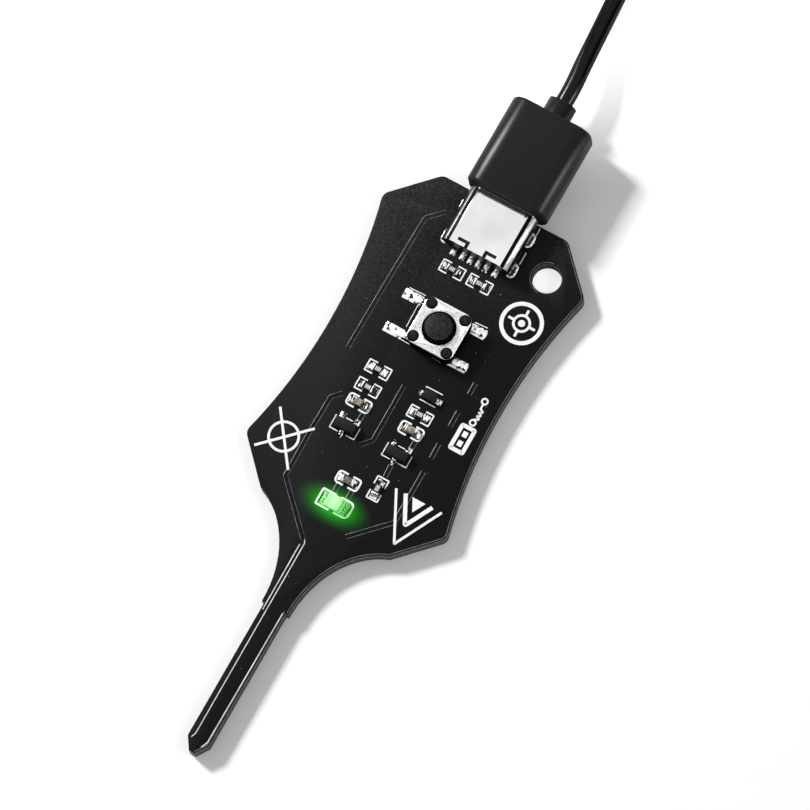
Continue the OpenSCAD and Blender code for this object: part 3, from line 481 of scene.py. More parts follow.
# Black PVC moulded round the plug in a spark-eroded mould: fine grain, soft bright edges
GRIP_PVC = even_finish("PVC, overmoulded", "#0b0b0c", 0.34, grain=(0.12, 0.008),
                       mottle=(0.3, "#080809", "#0f0f10"), shine=0.2)
# The grip's end faces, where the mould shuts off: dull, in a lighter colour that paints in the
# light the top catches
GRIP_END_PAINTED_LIGHTER = even_finish("PVC, grip's end faces, painted lighter", "#2a2a2c", 0.7,
                           mottle=(0.3, "#262627", "#2e2e30"), shine=0.05)
# Black PVC drawn over the wires: smoother than the plug, with a thin bright line along it
SHEATH = even_finish("PVC, extruded", "#050506", 0.2, grain=(0.8, 0.008),
                     mottle=(2.5, "#040405", "#09090a"), shine=0.17)
# White liquid-crystal polymer: the far plug's tongue
POLYMER = even_finish("liquid-crystal polymer, moulded", "#e6e6e2", 0.45, grain=(0.2, 0.004))
STRAP = woven_strap()
# Specks of lint that have settled on the board: pale grey dots
LINT = even_finish("lint, settled", "#8c8c8c", 0.9, mottle=(0.8, "#4a4a4a", "#c2c2c2"))


# Lead: its route in metres, from the plug's collar to the coil and from the coil to the far plug

LEAD_DIAMETER = 0.0022
RUN = [
    (0, 0.0503, 0.0036), (0, 0.0522, 0.0036), (-0.0003, 0.0555, 0.0033),
    (-0.0007, 0.0595, 0.0024), (-0.0011, 0.0635, 0.0016), (-0.0014, 0.0675, 0.0012),
    (-0.0015, 0.0715, 0.0011), (-0.0016, 0.0755, 0.0011), (-0.0016, 0.0795, 0.0011),
    (-0.0016, 0.0838, 0.0011), (-0.0016, 0.088, 0.0011),
]
END = [
    (-0.0158, 0.1022, 0.0033), (-0.0184, 0.1017, 0.0036), (-0.0206, 0.1002, 0.0046),
    (-0.0221, 0.0982, 0.0059), (-0.0228, 0.096, 0.0072), (-0.0228, 0.094, 0.0079),
    (-0.0228, 0.092, 0.0079),
]
COIL_CENTRE = (-0.0158, 0.088)
COIL_RADIUS = 0.0142
COIL_TURNS = 5.25
POINTS_PER_TURN = 24
# Where along its turns, counted in turns, the lead steps in, up and out by one diameter
STEPS_IN = [(0.79, 1.0), (1.79, 2.0)]
STEP_UP = (2.55, 2.79)
STEPS_OUT = [(3.3, 3.5), (4.3, 4.5)]


def eased(value, span):
    """0 before the span, 1 after it, and a smooth rise between."""
    t = min(max((value - span[0]) / (span[1] - span[0]), 0), 1)
    return t * t * (3 - 2 * t)


def coil_points():
    """The coil's turns: inwards along the floor, up, and outwards on top of the first layer."""
    points = []
    for i in range(1, round(COIL_TURNS * POINTS_PER_TURN)):
        turn = i / POINTS_PER_TURN
        moved = sum(eased(turn, s) for s in STEPS_OUT) - sum(eased(turn, s) for s in STEPS_IN)
        radius = COIL_RADIUS + LEAD_DIAMETER * moved
        angle = 2 * math.pi * turn
        points.append((COIL_CENTRE[0] + radius * math.cos(angle),
                       COIL_CENTRE[1] + radius * math.sin(angle),
                       LEAD_DIAMETER * (0.5 + eased(turn, STEP_UP))))
    return points


def lead_curve(points):
    """The round lead, which passes smoothly through its points."""
    data = bpy.data.curves.new("lead", "CURVE")
    data.dimensions = "3D"
    data.resolution_u = 4
    data.bevel_depth = LEAD_DIAMETER / 2
    data.bevel_resolution = 5
    data.use_fill_caps = True
    data.materials.append(SHEATH)
    spline = data.splines.new("BEZIER")
    spline.bezier_points.add(len(points) - 1)
    for knot, point in zip(spline.bezier_points, points):
        knot.co = point
        knot.handle_left_type = knot.handle_right_type = "AUTO"
    return linked("lead", data)


lead = lead_curve(RUN + coil_points() + END)
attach(lead, FIXED)
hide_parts("cable_run", "cable_coil", "cable_end")


# Board: the laminate, and the mask whose coat ends just short of every edge

MASK_MARGIN = 0.16
MASK_THICKNESS = 0.02
MASK_SLOPE = 0.08
BROKEN_EDGE_WIDTH = 0.08
MASK_TOP = BOARD_TOP + MASK_THICKNESS
# Edges that turn by less than this look rounded, and sharper ones are eased
SHARP = math.radians(40)
# Points of the CAD's loose triangles that are one point, and triangles that are one face
SAME_POINT = 0.0005
SAME_FACE = math.radians(1)
# How upright a face's normal is where the face is nearly level, and where it is quite level
NEARLY_LEVEL = 0.9
QUITE_LEVEL = 0.97


def joined_copy(node):
    """A CAD node's solids with their loose triangles joined into whole faces."""
    shape = bmesh.new()
    shape.from_mesh(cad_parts[node].data)
    bmesh.ops.remove_doubles(shape, verts=shape.verts, dist=SAME_POINT * MM)
    bmesh.ops.dissolve_limit(shape, angle_limit=SAME_FACE, verts=shape.verts, edges=shape.edges)
    return shape


def eased_edges(name, shape, width, materials, edge_material=-1, segments=2):
    """The mesh of a shape with its sharp edges rounded over `width` millimetres."""
    mesh = bpy.data.meshes.new(name)
    shape.to_mesh(mesh)
    shape.free()
    for material in materials:
        mesh.materials.append(material)
    mesh.shade_smooth()
    shaped = linked(name, mesh)
    bevel = shaped.modifiers.new("eased edges", "BEVEL")
    bevel.width = width * MM
    bevel.segments = segments
    bevel.limit_method = "ANGLE"
    bevel.angle_limit = SHARP
    bevel.harden_normals = True
    bevel.material = edge_material
    return finished_mesh(shaped)


def board_mesh():
    """The board's laminate, whose top steps up to the mask a little way in from every edge."""
    materials = [MASK, LAMINATE, MASK_RIM_PAINTED_HIGHLIGHT]
    shape = joined_copy("circuit_board")
    top = [face for face in shape.faces if face.normal.z > NEARLY_LEVEL]
    for face in shape.faces:
        face.material_index = materials.index(LAMINATE)
    margin = bmesh.ops.inset_region(shape, faces=top, thickness=MASK_MARGIN * MM,
                                    use_even_offset=True)
    slope = bmesh.ops.inset_region(shape, faces=top, thickness=MASK_SLOPE * MM,
                                   depth=MASK_THICKNESS * MM, use_even_offset=True)
    for face in top + margin["faces"]:
        face.material_index = materials.index(MASK)
    shape.normal_update()
    for face in slope["faces"]:
        # Only the slopes that face +x get the painted highlight
        face.material_index = materials.index(MASK_RIM_PAINTED_HIGHLIGHT if face.normal.x > 0 else MASK)
    return eased_edges("board", shape, BROKEN_EDGE_WIDTH, materials,
                       edge_material=materials.index(LAMINATE))


piece("board", board_mesh(), stands_for=["circuit_board"])


# Lines that follow a path: the copper tracks and the printed legend share one kind of tree

def new_tree(name, inputs, output):
    """A Geometry Nodes tree with named sockets; gives what its input node gives too."""
    tree = bpy.data.node_groups.new(name, "GeometryNodeTree")
    for title, kind in inputs.items():
        tree.interface.new_socket(title, in_out="INPUT", socket_type="NodeSocket" + kind)
    tree.interface.new_socket(output, in_out="OUTPUT", socket_type="NodeSocketGeometry")
    return tree, add_node(tree, "NodeGroupInput").outputs


def path_tree(name, tapered):
    """A tree that sweeps a flat bar along each path of a mesh, with its bends rounded."""
    tree, given = new_tree(
        name, {"Paths": "Geometry", "Width": "Float", "Thickness": "Float", "Slope": "Float",
               "Bend Radius": "Float", "Top": "Material", "Side": "Material"}, "Lines")
    curves = add_node(tree, "GeometryNodeMeshToCurve", {"Mesh": given["Paths"]})
    bends = add_node(tree, "GeometryNodeFilletCurve",
                     {"Curve": curves, "Count": 4, "Radius": given["Bend Radius"],
                      "Limit Radius": True}, mode="POLY")
    level = add_node(tree, "GeometryNodeSetCurveNormal", {"Curve": bends}, mode="Z_UP")
    if tapered:
        slopes = add_node(tree, "ShaderNodeMath", {0: given["Slope"], 1: 2.0},
                          operation="MULTIPLY")
        top_width = add_node(tree, "ShaderNodeMath", {0: given["Width"], 1: slopes},
                             operation="SUBTRACT")
        bar = add_node(tree, "GeometryNodeCurvePrimitiveQuadrilateral",
                       {"Bottom Width": top_width, "Top Width": given["Width"],
                        "Height": given["Thickness"], "Offset": 0.0}, mode="TRAPEZOID")
    else:
        bar = add_node(tree, "GeometryNodeCurvePrimitiveQuadrilateral",
                       {"Width": given["Width"], "Height": given["Thickness"]}, mode="RECTANGLE")
    swept = add_node(tree, "GeometryNodeCurveToMesh",
                     {"Curve": level, "Profile Curve": bar, "Fill Caps": True})
    real = add_node(tree, "GeometryNodeRealizeInstances", {"Geometry": swept})
    flat = add_node(tree, "GeometryNodeSetShadeSmooth", {"Geometry": real, "Shade Smooth": False})
    coated = add_node(tree, "GeometryNodeSetMaterial",
                      {"Geometry": flat, "Material": given["Side"]})
    normal = add_node(tree, "GeometryNodeInputNormal")
    upright = add_node(tree, "ShaderNodeSeparateXYZ", {"Vector": normal})
    level_face = add_node(tree, "FunctionNodeCompare", {0: upright.outputs["Z"], 1: QUITE_LEVEL},
                          data_type="FLOAT", operation="GREATER_THAN")
    topped = add_node(tree, "GeometryNodeSetMaterial",
                      {"Geometry": coated, "Material": given["Top"], "Selection": level_face})
    add_node(tree, "NodeGroupOutput", {"Lines": topped})
    return tree


LAYER_STEP = 0.0015


def path_mesh(name, paths, height):
    """Open or closed paths on the board, given in millimetres, as a mesh of edges.

    Each path lies a hair above the one before, so that lines which cross don't share a face.
    """
    points, edges = [], []
    for path in paths:
        height += LAYER_STEP
        first = len(points)
        closed = path[0] == path[-1]
        corners = path[:-1] if closed else path
        points += [(x * MM, y * MM, height * MM) for x, y in corners]
        edges += [(i, i + 1) for i in range(first, len(points) - 1)]
        if closed:
            edges.append((len(points) - 1, first))
    mesh = bpy.data.meshes.new(name)
    mesh.from_pydata(points, edges, [])
    return mesh


def line_piece(name, tree, paths, height, top, side=None, slot=None, **lengths):
    """A piece that a tree makes of some paths; its lengths are given in millimetres."""
    inputs = {key.replace("_", " ").title(): value * MM for key, value in lengths.items()}
    piece(name, made_by(tree, name, path_mesh(name, paths, height),
                        {**inputs, "Top": top, "Side": side or top}))


TRACK_TREE = path_tree("track", tapered=True)
LEGEND_TREE = path_tree("legend line", tapered=False)

# Tracks: copper under the mask, seen by the slopes along each; centre lines in millimetres
TRACK_RISE = 0.03
TRACKS = [
    [(-5.8, 32.87), (-7.6, 31.1), (-7.74, 24), (-7.86, 13.3)],
    [(-5.7, 8.33), (-6.7, 7.3), (-6.76, 3), (-6.66, -3.3), (-3.15, -6.83), (-1.1, -8.9)],
    [(0.1, 12.5), (0.14, 5.1), (-0.9, 4)],
    [(7.18, 16.7), (7.2, 15.2)],
    [(7.1, 12.8), (7.12, 10.8)],
    [(7.02, 8.4), (7.07, 6.5)],
    [(7.08, 4.7), (7.09, -2.1), (3, -6.25)],
    [(3.42, 3.6), (3.5, 2)],
    [(-0.78, -1.15), (-0.78, -2.3)],
    [(0.98, -1.15), (0.98, -2.3)],
    [(-2.4, 7.3), (-2.42, 6.4)],
    [(4.5, 7.3), (4.48, 6.4)],
]
line_piece("tracks", TRACK_TREE, TRACKS, MASK_TOP, MASK, side=COPPER_EDGE, slot="board",
           width=0.64, slope=0.1, thickness=2 * TRACK_RISE, bend_radius=0.3)

PROBE_LINES = [
    [(-0.95, -8.8), (-0.76, -9.2), (-0.74, -17.4), (-0.68, -34.4), (-0.9, -35)],
    [(-1.2, -9.5), (-1.14, -18.2)],
    [(1.12, -17.5), (1.04, -34.7), (0.7, -35.5)],
]
line_piece("probe_lines", LEGEND_TREE, PROBE_LINES, MASK_TOP, TIN_LINES_AND_HIGHLIGHT, slot="tin", width=0.11,
           thickness=0.04, bend_radius=0.1)


# Legend: outlines round the parts and a few plain signs, screen printed; all in millimetres

INK_TOP = BOARD_TOP + 0.06
INK_MIDDLE = (BOARD_TOP + INK_TOP) / 2
RESISTORS = ["left_pull_down_resistor", "right_pull_down_resistor", "left_upper_resistor",
             "left_lower_resistor", "right_resistor"]
CAPACITORS = ["left_capacitor", "right_capacitor"]
TRANSISTORS = ["left_transistor", "right_transistor"]

# Two-part outlines: length, width, and the gap in the middle of each long side
RESISTOR_OUTLINE = (2.87, 1.42, 0.85)
TURNED_OUTLINE = (2.8, 1.42, 0.8)
CAPACITOR_OUTLINE = (2.87, 1.42, 0.6)
LAMP_OUTLINE = (4.1, 1.98, 0.58)
# Outlines of the packages, from each one's middle
TRANSISTOR_OUTLINE = [
    [(-1.62, 0.8), (-1.62, -0.86), (-0.5, -0.86)],
    [(0.5, -0.86), (1.62, -0.86), (1.62, 0.62)],
    [(-0.45, 0.98), (0.45, 0.98)],
]
DIODE_OUTLINE = [[(-1.05, 0.8), (-0.95, 0.95), (1.1, 0.95)], [(-1.0, -0.74), (1.05, -0.74)]]
SWITCH_OUTLINE = [
    [(-3.22, 21.7), (-3.14, 18.7)], [(-3.1, 17.1), (2.4, 16.92)], [(-5.1, 22.95), (-3.0, 23.0)],
    [(3.6, 22.95), (5.2, 23.05)], [(3.65, 17.12), (5.5, 17.12)],
]
SOCKET_OUTLINE = [[(side * 4.72, low), (side * 4.72, high)] for side in (-1, 1)
                  for low, high in ((31.4, 33.0), (35.3, 36.3))]


def placed(shapes, centre, turned=False):
    """Paths moved to a centre, and turned a quarter where asked."""
    if turned:
        shapes = [[(-y, x) for x, y in path] for path in shapes]
    return [[(centre[0] + x, centre[1] + y) for x, y in path] for path in shapes]


def marks_on(parts, marks, turned=False):
    """The same marks on each of some parts."""
    return [path for part in parts for path in placed(marks, centre_of(part), turned)]


def brackets(length, width, gap):
    """The two halves of an outline, with a gap in the middle of each long side."""
    half, side, end = length / 2, width / 2, gap / 2
    right = [(end, side), (half, side), (half, -side), (end, -side)]
    return [right, [(-x, y) for x, y in right]]


def ring(radius, centre=(0, 0), points=40):
    """A closed round path."""
    turns = [2 * math.pi * i / points for i in range(points)]
    path = [(centre[0] + radius * math.cos(a), centre[1] + radius * math.sin(a)) for a in turns]
    return path + [path[0]]


def coil_symbol(half, hump, humps, ends):
    """A coil as circuit plans draw it: a row of humps between two ringed ends."""
    low, high = -half + 1.3 * ends, half - 3 * ends
    steps = 6 * humps
    row = [(hump * abs(math.sin(math.pi * i / 6)), low + (high - low) * i / steps)
           for i in range(steps + 1)]
    return [[(0, -half + ends)] + row + [(0, half - ends)],
            ring(ends, (0, -half), 16), ring(ends, (0, half), 16)]


def arrowhead(wide, deep):
    """Two strokes that meet in a point towards the probe."""
    return [(-wide, 0), (0, -deep), (wide, 0)]


resistor_marks = (marks_on(RESISTORS, brackets(*RESISTOR_OUTLINE))
                  + marks_on(["turned_resistor"], brackets(*TURNED_OUTLINE), turned=True))
capacitor_marks = marks_on(CAPACITORS + ["lamp_resistor"], brackets(*CAPACITOR_OUTLINE))
package_marks = marks_on(TRANSISTORS, TRANSISTOR_OUTLINE) + marks_on(["diode"], DIODE_OUTLINE)
lamp_right, lamp_left = marks_on(["lamp_block_clear"], brackets(*LAMP_OUTLINE))

# Plain signs, by their middles: a ring with a hub, the circuit plans' lamp and coil, a block,
# and arrowheads that point to the probe
RING_SIGN = (8.36, 25.4)
LAMP_SIGN = (-9.12, 0.6)
ARROW_SIGN = (8.3, 1.5)
COIL_SIGN = (9.2, 13.87)
BLOCK_SIGN = (9.1, 10.2)
sign_lines = placed([ring(0.95), [(0, 0.95), (0, 1.75)], [(0, -0.95), (0, -1.75)],
                     [(0.95, 0), (1.75, 0)], [(-0.95, 0), (-1.75, 0)]], RING_SIGN)
sign_lines += placed([ring(1.75), [(-2.11, 2.87), (2.4, -3.18)], [(-2.48, -2.5), (2.69, 2.53)]],
                     LAMP_SIGN)
sign_lines += placed([arrowhead(3.0, 5.8)], ARROW_SIGN)
fine_signs = placed(coil_symbol(1.42, 0.42, 3, 0.34), COIL_SIGN)
bold_signs = placed([ring(2.35)], RING_SIGN) + placed([arrowhead(1.75, 3.35)], ARROW_SIGN)
bold_signs += placed([[(-0.8, -1.5), (0.8, -1.5), (0.8, 1.5), (-0.8, 1.5), (-0.8, -1.5)]],
                     BLOCK_SIGN)
filled = placed([arrowhead(0.85, 1.6)], ARROW_SIGN)
filled += placed([[(-0.3, 0.25), (0.3, 0.25), (0.3, 0.95), (-0.3, 0.95)],
                  [(-0.3, -0.95), (0.3, -0.95), (0.3, -0.25), (-0.3, -0.25)]], BLOCK_SIGN)
filled += placed([ring(0.42, points=20)[:-1]], RING_SIGN)


def filled_shapes(name, outlines, low, high):
    """Flat filled shapes of ink, each from its outline in millimetres."""
    shape = bmesh.new()
    for outline in outlines:
        face = shape.faces.new([shape.verts.new((x * MM, y * MM, low * MM)) for x, y in outline])
        raised = bmesh.ops.extrude_face_region(shape, geom=[face])["geom"]
        for corner in (v for v in raised if isinstance(v, bmesh.types.BMVert)):
            corner.co.z = high * MM
    bmesh.ops.recalc_face_normals(shape, faces=shape.faces)
    mesh = bpy.data.meshes.new(name)
    shape.to_mesh(mesh)
    shape.free()
    return mesh


# Each group's paths, the width of its line, and how far its bends are rounded
LEGEND = {
    "chip_outlines": (resistor_marks, 0.17, 0.05),
    "rounded_outlines": (capacitor_marks, 0.22, 0.34),
    "lamp_outline_left": ([lamp_left], 0.22, 0.12),
    "lamp_outline_right": ([lamp_right], 0.22, 0.5),
    "package_outlines": (package_marks, 0.13, 0.05),
    "switch_outline": (SWITCH_OUTLINE, 0.1, 0.05),
    "socket_outline": (SOCKET_OUTLINE, 0.13, 0.05),
    "fine_signs": (fine_signs, 0.22, 0.03),
    "sign_lines": (sign_lines, 0.3, 0.05),
    "bold_signs": (bold_signs, 0.48, 0.1),
}
for name, (paths, width, bend) in LEGEND.items():
    line_piece(name, LEGEND_TREE, paths, INK_MIDDLE, INK, width=width, bend_radius=bend,
               thickness=INK_TOP - BOARD_TOP)
piece("filled_signs", filled_shapes("filled_signs", filled, BOARD_TOP, INK_TOP), [INK])

# Four plain strokes across each black resistor
STROKE_PLACES = (-0.27, -0.09, 0.09, 0.27)
STROKE_HALF = 0.24
CHIP_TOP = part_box("right_resistor")[1].z / MM
across_chip = [[(x, -STROKE_HALF), (x, STROKE_HALF)] for x in STROKE_PLACES]
strokes = marks_on(RESISTORS, across_chip) + marks_on(["turned_resistor"], across_chip, turned=True)
line_piece("chip_strokes", LEGEND_TREE, strokes, CHIP_TOP, INK, width=0.09, thickness=0.02,
           bend_radius=0.02)


# The parts: copies of the CAD solids with eased edges, each in its own finish

TURNED_LOW, TURNED_HIGH = (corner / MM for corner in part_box("turned_resistor"))
SWITCH_MIDDLE = centre_of("switch_cover")
SOCKET_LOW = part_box("socket_contacts")[0] / MM
# How far solder reaches past a chip's sides and ends, behind the contacts' feet, and from the
# switch's middle
SOLDER_BESIDE = 0.5
SOLDER_BEYOND = 1.0
SOLDER_BEHIND = 0.5
SWITCH_REACH = 4
# How far the shell's faces lean sideways: where the painted dark line and the painted pale band
# start, and where the band ends on the left and on the right
DARK_LINE_FROM = 0.3
PALE_BAND_FROM = 0.56
PALE_BAND_TO_LEFT = 0.69
PALE_BAND_TO_RIGHT = 0.87
# How far past a rivet's head its hole reaches, how high the button's top starts, and how squarely
# the grip's end faces look along the lead
HOLE_MARGIN = 0.2
BUTTON_CROWN = BOARD_TOP + 2.4
END_ON = 0.35


def dressed(node, materials, ease=0.03, body=FIXED, segments=2, finish_of=None):
    """A CAD node's form with its sharp edges eased over `ease` millimetres.

    Where it has several materials, finish_of gives a face's own from its centre (mm) and normal.
    """
    mesh = eased_edges(node, joined_copy(node), ease, materials, segments=segments)
    if finish_of:
        for face in mesh.polygons:
            face.material_index = materials.index(finish_of(face.center / MM, face.normal))
    return piece(node + "_finished", mesh, body=body, stands_for=[node])


def end_finish(centre, normal):
    """Streaks lie across each chip, so the turned one has its own."""
    turned = (TURNED_LOW.x - SOLDER_BESIDE < centre.x < TURNED_HIGH.x + SOLDER_BESIDE
              and TURNED_LOW.y - SOLDER_BEYOND < centre.y < TURNED_HIGH.y + SOLDER_BEYOND)
    return TURNED_SOLDER if turned else CHIP_SOLDER


def pad_finish(centre, normal):
    """As the chips' ends, but smooth and bright at the socket and at the switch."""
    at_socket = centre.y > SOCKET_LOW.y - SOLDER_BEHIND
    at_switch = abs(centre.y - SWITCH_MIDDLE.y) < SWITCH_REACH
    return SOLDER if at_socket or at_switch else end_finish(centre, normal)


def fillet_finish(centre, normal):
    """As the pads, but at the socket painted dark with shadow."""
    at_socket = centre.y > SOCKET_LOW.y - SOLDER_BEHIND
    return SLOT_SOLDER_PAINTED_SHADOW if at_socket else pad_finish(centre, normal)


def shell_finish(centre, normal):
    """The shell's top shines. Down each side lie painted reflections: a dark line, a pale band and
    a dark band.
    """
    lean = abs(normal.x)
    if lean > (PALE_BAND_TO_RIGHT if normal.x > 0 else PALE_BAND_TO_LEFT):
        return NICKEL_PAINTED_BOARD_REFLECTION
    if lean > PALE_BAND_FROM:
        return NICKEL_PAINTED_PALE_BAND
    return NICKEL_PAINTED_DARK_LINE if lean > DARK_LINE_FROM else NICKEL


def cover_finish(centre, normal):
    """The edges of the five punched holes get painted shade: the near-black gap finish."""
    off = (centre - SWITCH_MIDDLE).xy
    rivet = Vector([math.copysign(RIVET_PITCH / 2, value) for value in off])
    from_axis = off - rivet
    if from_axis.length > RIVET_HEAD / 2 + HOLE_MARGIN:
        from_axis = off
    inwards = normal.z < QUITE_LEVEL and from_axis.dot(normal.xy) < 0
    return GAP_PAINTED_SHADE if inwards else STEEL


def base_finish(centre, normal):
    """The base's sides, in the gap under the plate, get painted shade."""
    return GAP_PAINTED_SHADE if normal.z < NEARLY_LEVEL else RIVETED


def button_finish(centre, normal):
    """The button's side and flange, in the gap round it, get painted shade."""
    return GAP_PAINTED_SHADE if normal.z < NEARLY_LEVEL or centre.z < BUTTON_CROWN else BUTTON_NYLON


def grip_finish(centre, normal):
    """The grip's two ends are dull and painted lighter."""
    return GRIP_END_PAINTED_LIGHTER if abs(normal.y) > END_ON else GRIP_PVC


dressed("solder_fillets", [CHIP_SOLDER, TURNED_SOLDER, SOLDER, SLOT_SOLDER_PAINTED_SHADOW], ease=0.05,
        finish_of=fillet_finish)
dressed("solder_pads", [CHIP_SOLDER, TURNED_SOLDER, SOLDER], ease=0.015,
        finish_of=pad_finish)
dressed("socket_shell", [NICKEL, NICKEL_PAINTED_DARK_LINE, NICKEL_PAINTED_PALE_BAND, NICKEL_PAINTED_BOARD_REFLECTION], ease=0.05,
        finish_of=shell_finish)
dressed("socket_contacts", [SOLDER])
dressed("switch_base", [RIVETED, GAP_PAINTED_SHADE], ease=0.04, finish_of=base_finish)
dressed("switch_terminals", [SOLDER], ease=0.04)
dome = dressed("switch_dome", [STEEL], ease=0.01)
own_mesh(dome)
dressed("switch_cover", [STEEL, GAP_PAINTED_SHADE], ease=0.07, finish_of=cover_finish)
dressed("switch_button", [BUTTON_NYLON, GAP_PAINTED_SHADE], ease=0.14, body=PRESSED,
        segments=3, finish_of=button_finish)
for chip in RESISTORS + ["turned_resistor"]:
    dressed(chip, [GLAZE])
dressed("lamp_resistor", [FILM])
for chip in CAPACITORS:
    dressed(chip, [TITANATE], ease=0.05)
dressed("chip_end_caps", [CHIP_SOLDER, TURNED_SOLDER], ease=0.04, finish_of=end_finish)
for package in TRANSISTORS + ["diode"]:
    dressed(package, [COMPOUND], ease=0.04)
dressed("transistor_leads", [TOE_SOLDER])
dressed("diode_leads", [TOE_SOLDER])
dressed("lamp_carrier", [CARRIER])
dressed("lamp_terminals", [LAMP_SOLDER])
dressed("lamp_block_clear", [LIT], ease=0.1)
dressed("plug_grip", [GRIP_PVC, GRIP_END_PAINTED_LIGHTER], ease=0.06, finish_of=grip_finish)
tie = dressed("coil_tie", [STRAP], ease=0.15)
far_shell = dressed("far_plug_shell", [NICKEL], ease=0.06)
far_grip = dressed("far_plug_grip", [GRIP_PVC], ease=0.2, segments=3)

INNER_FINISHES = {
    "socket_moulding": NYLON, "plug_shell": NICKEL, "plug_moulding": NYLON,
    "plug_contacts": GILT, "far_plug_moulding": POLYMER, "far_plug_contacts": GILT,
}
for node, material in INNER_FINISHES.items():
    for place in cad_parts[node].material_slots:
        place.material = material


# Lint: a few specks, scattered over the bare stretches of the board

BARE_STRETCHES = [((-1.0, -33), (1.0, -10)), ((-6, -3), (8, 11)), ((-10, 13), (10, 28))]
SPECKS_PER_SQUARE_METRE = 90000.0
LEAST_SPECK = 0.3
SPECK_RADIUS = 0.055
LINT_SEED = 7


def lint_tree():
    """A tree that scatters small grains over flat patches."""
    tree, given = new_tree(
        "lint", {"Patches": "Geometry", "Specks Per Square Metre": "Float", "Least Scale": "Float",
                 "Grain Radius": "Float", "Seed": "Int", "Finish": "Material"}, "Specks")
    spots = add_node(tree, "GeometryNodeDistributePointsOnFaces",
                     {"Mesh": given["Patches"], "Density": given["Specks Per Square Metre"],
                      "Seed": given["Seed"]})
    grain = add_node(tree, "GeometryNodeMeshIcoSphere",
                     {"Radius": given["Grain Radius"], "Subdivisions": 2})
    size = add_node(tree, "FunctionNodeRandomValue",
                    {VALUE_A: given["Least Scale"], VALUE_B: 1.0, "Seed": given["Seed"]},
                    data_type="FLOAT")
    laid = add_node(tree, "GeometryNodeInstanceOnPoints",
                    {"Points": spots, "Instance": grain, "Scale": size.outputs[1]})
    real = add_node(tree, "GeometryNodeRealizeInstances", {"Geometry": laid})
    coated = add_node(tree, "GeometryNodeSetMaterial",
                      {"Geometry": real, "Material": given["Finish"]})
    add_node(tree, "NodeGroupOutput", {"Specks": coated})
    return tree


patches = bpy.data.meshes.new("bare stretches")
corners = [(x * MM, y * MM, MASK_TOP * MM) for low, high in BARE_STRETCHES
           for x, y in (low, (high[0], low[1]), high, (low[0], high[1]))]
patches.from_pydata(corners, [], [range(i, i + 4) for i in range(0, len(corners), 4)])
piece("lint", made_by(lint_tree(), "lint", patches,
                      {"Specks Per Square Metre": SPECKS_PER_SQUARE_METRE,
                       "Least Scale": LEAST_SPECK, "Grain Radius": SPECK_RADIUS * MM,
                       "Seed": LINT_SEED, "Finish": LINT}))


# Light: a small key lamp from the upper left of the photograph, a wide one opposite, two boxes
# seen in gloss alone, which draw the long soft lines on the grip and the lead, and a pale room

KEY_PLACE = Vector((-0.776, 0.18, 0.605))
FILL_PLACE = Vector((0.607, 0.18, 0.772))
LEFT_BOX_PLACE = Vector((-0.82, 0.18, 0.54))
RIGHT_BOX_PLACE = Vector((0.957, 0.186, 0.224))
AMBIENT = 0.33
ROOM_IN_GLOSS = 0.92
HORIZON_IN_GLOSS = 0.03
# How steeply a reflection rises where the room starts to brighten, and where it is brightest
BRIGHT_FROM = 0.45
BRIGHTEST_FROM = 0.7


def lamp(name, place, size, power):
    """A square studio lamp that faces the object."""
    data = bpy.data.lights.new(name, "AREA")
    data.size = size
    data.energy = power
    made = linked(name, data)
    made.matrix_world = (Matrix.Translation(place)
                         @ (-place).to_track_quat("-Z", "Y").to_matrix().to_4x4())
    return made


lamp("key", KEY_PLACE, size=0.16, power=10.6)
lamp("fill", FILL_PLACE, size=0.3, power=1.25).visible_glossy = False
lamp("left gloss box", LEFT_BOX_PLACE, size=0.36, power=5.6).visible_diffuse = False
lamp("right gloss box", RIGHT_BOX_PLACE, size=0.3, power=5.0).visible_diffuse = False

# The room is even to matt surfaces; in gloss it is bright overhead and dark at the horizon
world = bpy.data.worlds.new("room")
bpy.context.scene.world = world
world.use_nodes = True
room = world.node_tree
background = room.nodes["Background"]
ray = add_node(room, "ShaderNodeLightPath").outputs
gloss = add_node(room, "ShaderNodeMath", {0: ray["Is Glossy Ray"], 1: ray["Is Transmission Ray"]},
                 operation="MAXIMUM")
towards = add_node(room, "ShaderNodeTexCoord").outputs["Generated"]
rise = add_node(room, "ShaderNodeSeparateXYZ", {"Vector": towards}).outputs["Z"]
overhead = add_node(room, "ShaderNodeMapRange",
                    {"Value": rise, "From Min": BRIGHT_FROM, "From Max": BRIGHTEST_FROM,
                     "To Min": HORIZON_IN_GLOSS, "To Max": ROOM_IN_GLOSS},
                    interpolation_type="SMOOTHSTEP")
in_gloss = add_node(room, "ShaderNodeMix", {0: gloss, VALUE_A: AMBIENT, VALUE_B: overhead})
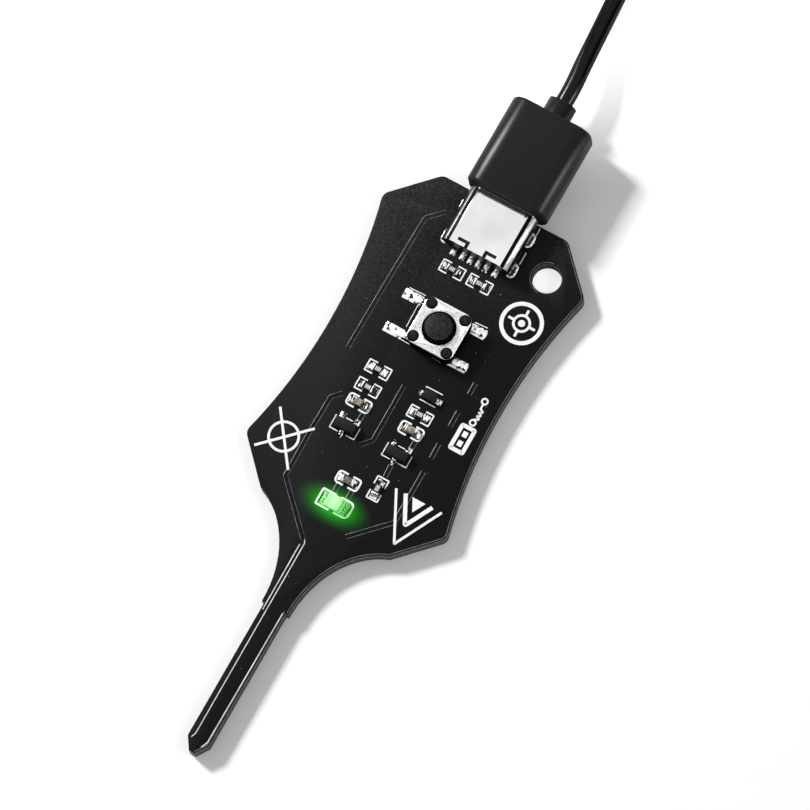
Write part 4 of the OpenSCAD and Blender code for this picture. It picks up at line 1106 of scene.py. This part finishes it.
strength = add_node(room, "ShaderNodeMath", {0: in_gloss, 1: ray["Is Camera Ray"]},
                    operation="MAXIMUM")
feed(background, "Strength", strength)
background.inputs["Color"].default_value = (1, 1, 1, 1)


# Floor

FLOOR_DROP = 0.05
FLOOR_LIFT = 0.07
PAINTED_LIGHT_LIFT = 0.7
# Painted light, to the camera only, that lifts the shadow to white below the lanyard hole, and
# near the coil, past its edge. Each is a centre, and the distances at which the extra lift starts
# and stops fading
PAINTED_LIGHT_PLACES = [((8.0, 31.85, 0), 1.5, 2.3), ((-14, 66, 0), 16, 32)]
FLOOR_SIZE = 1.5


def floor_paper():
    """Matt white paper: white to the camera, with the object's soft shadow on it, save where
    painted light lifts it.
    """
    made, tree, shader = new_material("paper, matt white", "#f7f7f7", 0.9, shine=0.1,
                                      emission_color=(1, 1, 1, 1))
    grain_bump(tree, shader, 0.4, 0.004)
    place = add_node(tree, "ShaderNodeTexCoord").outputs["Object"]
    most = FLOOR_LIFT
    for centre, near, far in PAINTED_LIGHT_PLACES:
        away = add_node(tree, "ShaderNodeVectorMath",
                        {0: place, 1: [value * MM for value in centre]}, operation="DISTANCE")
        extra = add_node(tree, "ShaderNodeMapRange",
                         {"Value": away.outputs["Value"], "From Min": near * MM,
                          "From Max": far * MM, "To Min": PAINTED_LIGHT_LIFT, "To Max": FLOOR_LIFT},
                         interpolation_type="SMOOTHSTEP")
        most = add_node(tree, "ShaderNodeMath", {0: extra, 1: most}, operation="MAXIMUM")
    seen = add_node(tree, "ShaderNodeLightPath").outputs["Is Camera Ray"]
    lift = add_node(tree, "ShaderNodeMath", {0: seen, 1: most}, operation="MULTIPLY")
    feed(shader, "Emission Strength", lift)
    return made


floor_mesh = bpy.data.meshes.new("floor")
floor_mesh.from_pydata([(x * FLOOR_SIZE, y * FLOOR_SIZE, -FLOOR_DROP * MM)
                        for x, y in ((-1, -1), (1, -1), (1, 1), (-1, 1))], [], [(0, 1, 2, 3)])
floor_mesh.materials.append(floor_paper())
floor = linked("floor", floor_mesh)
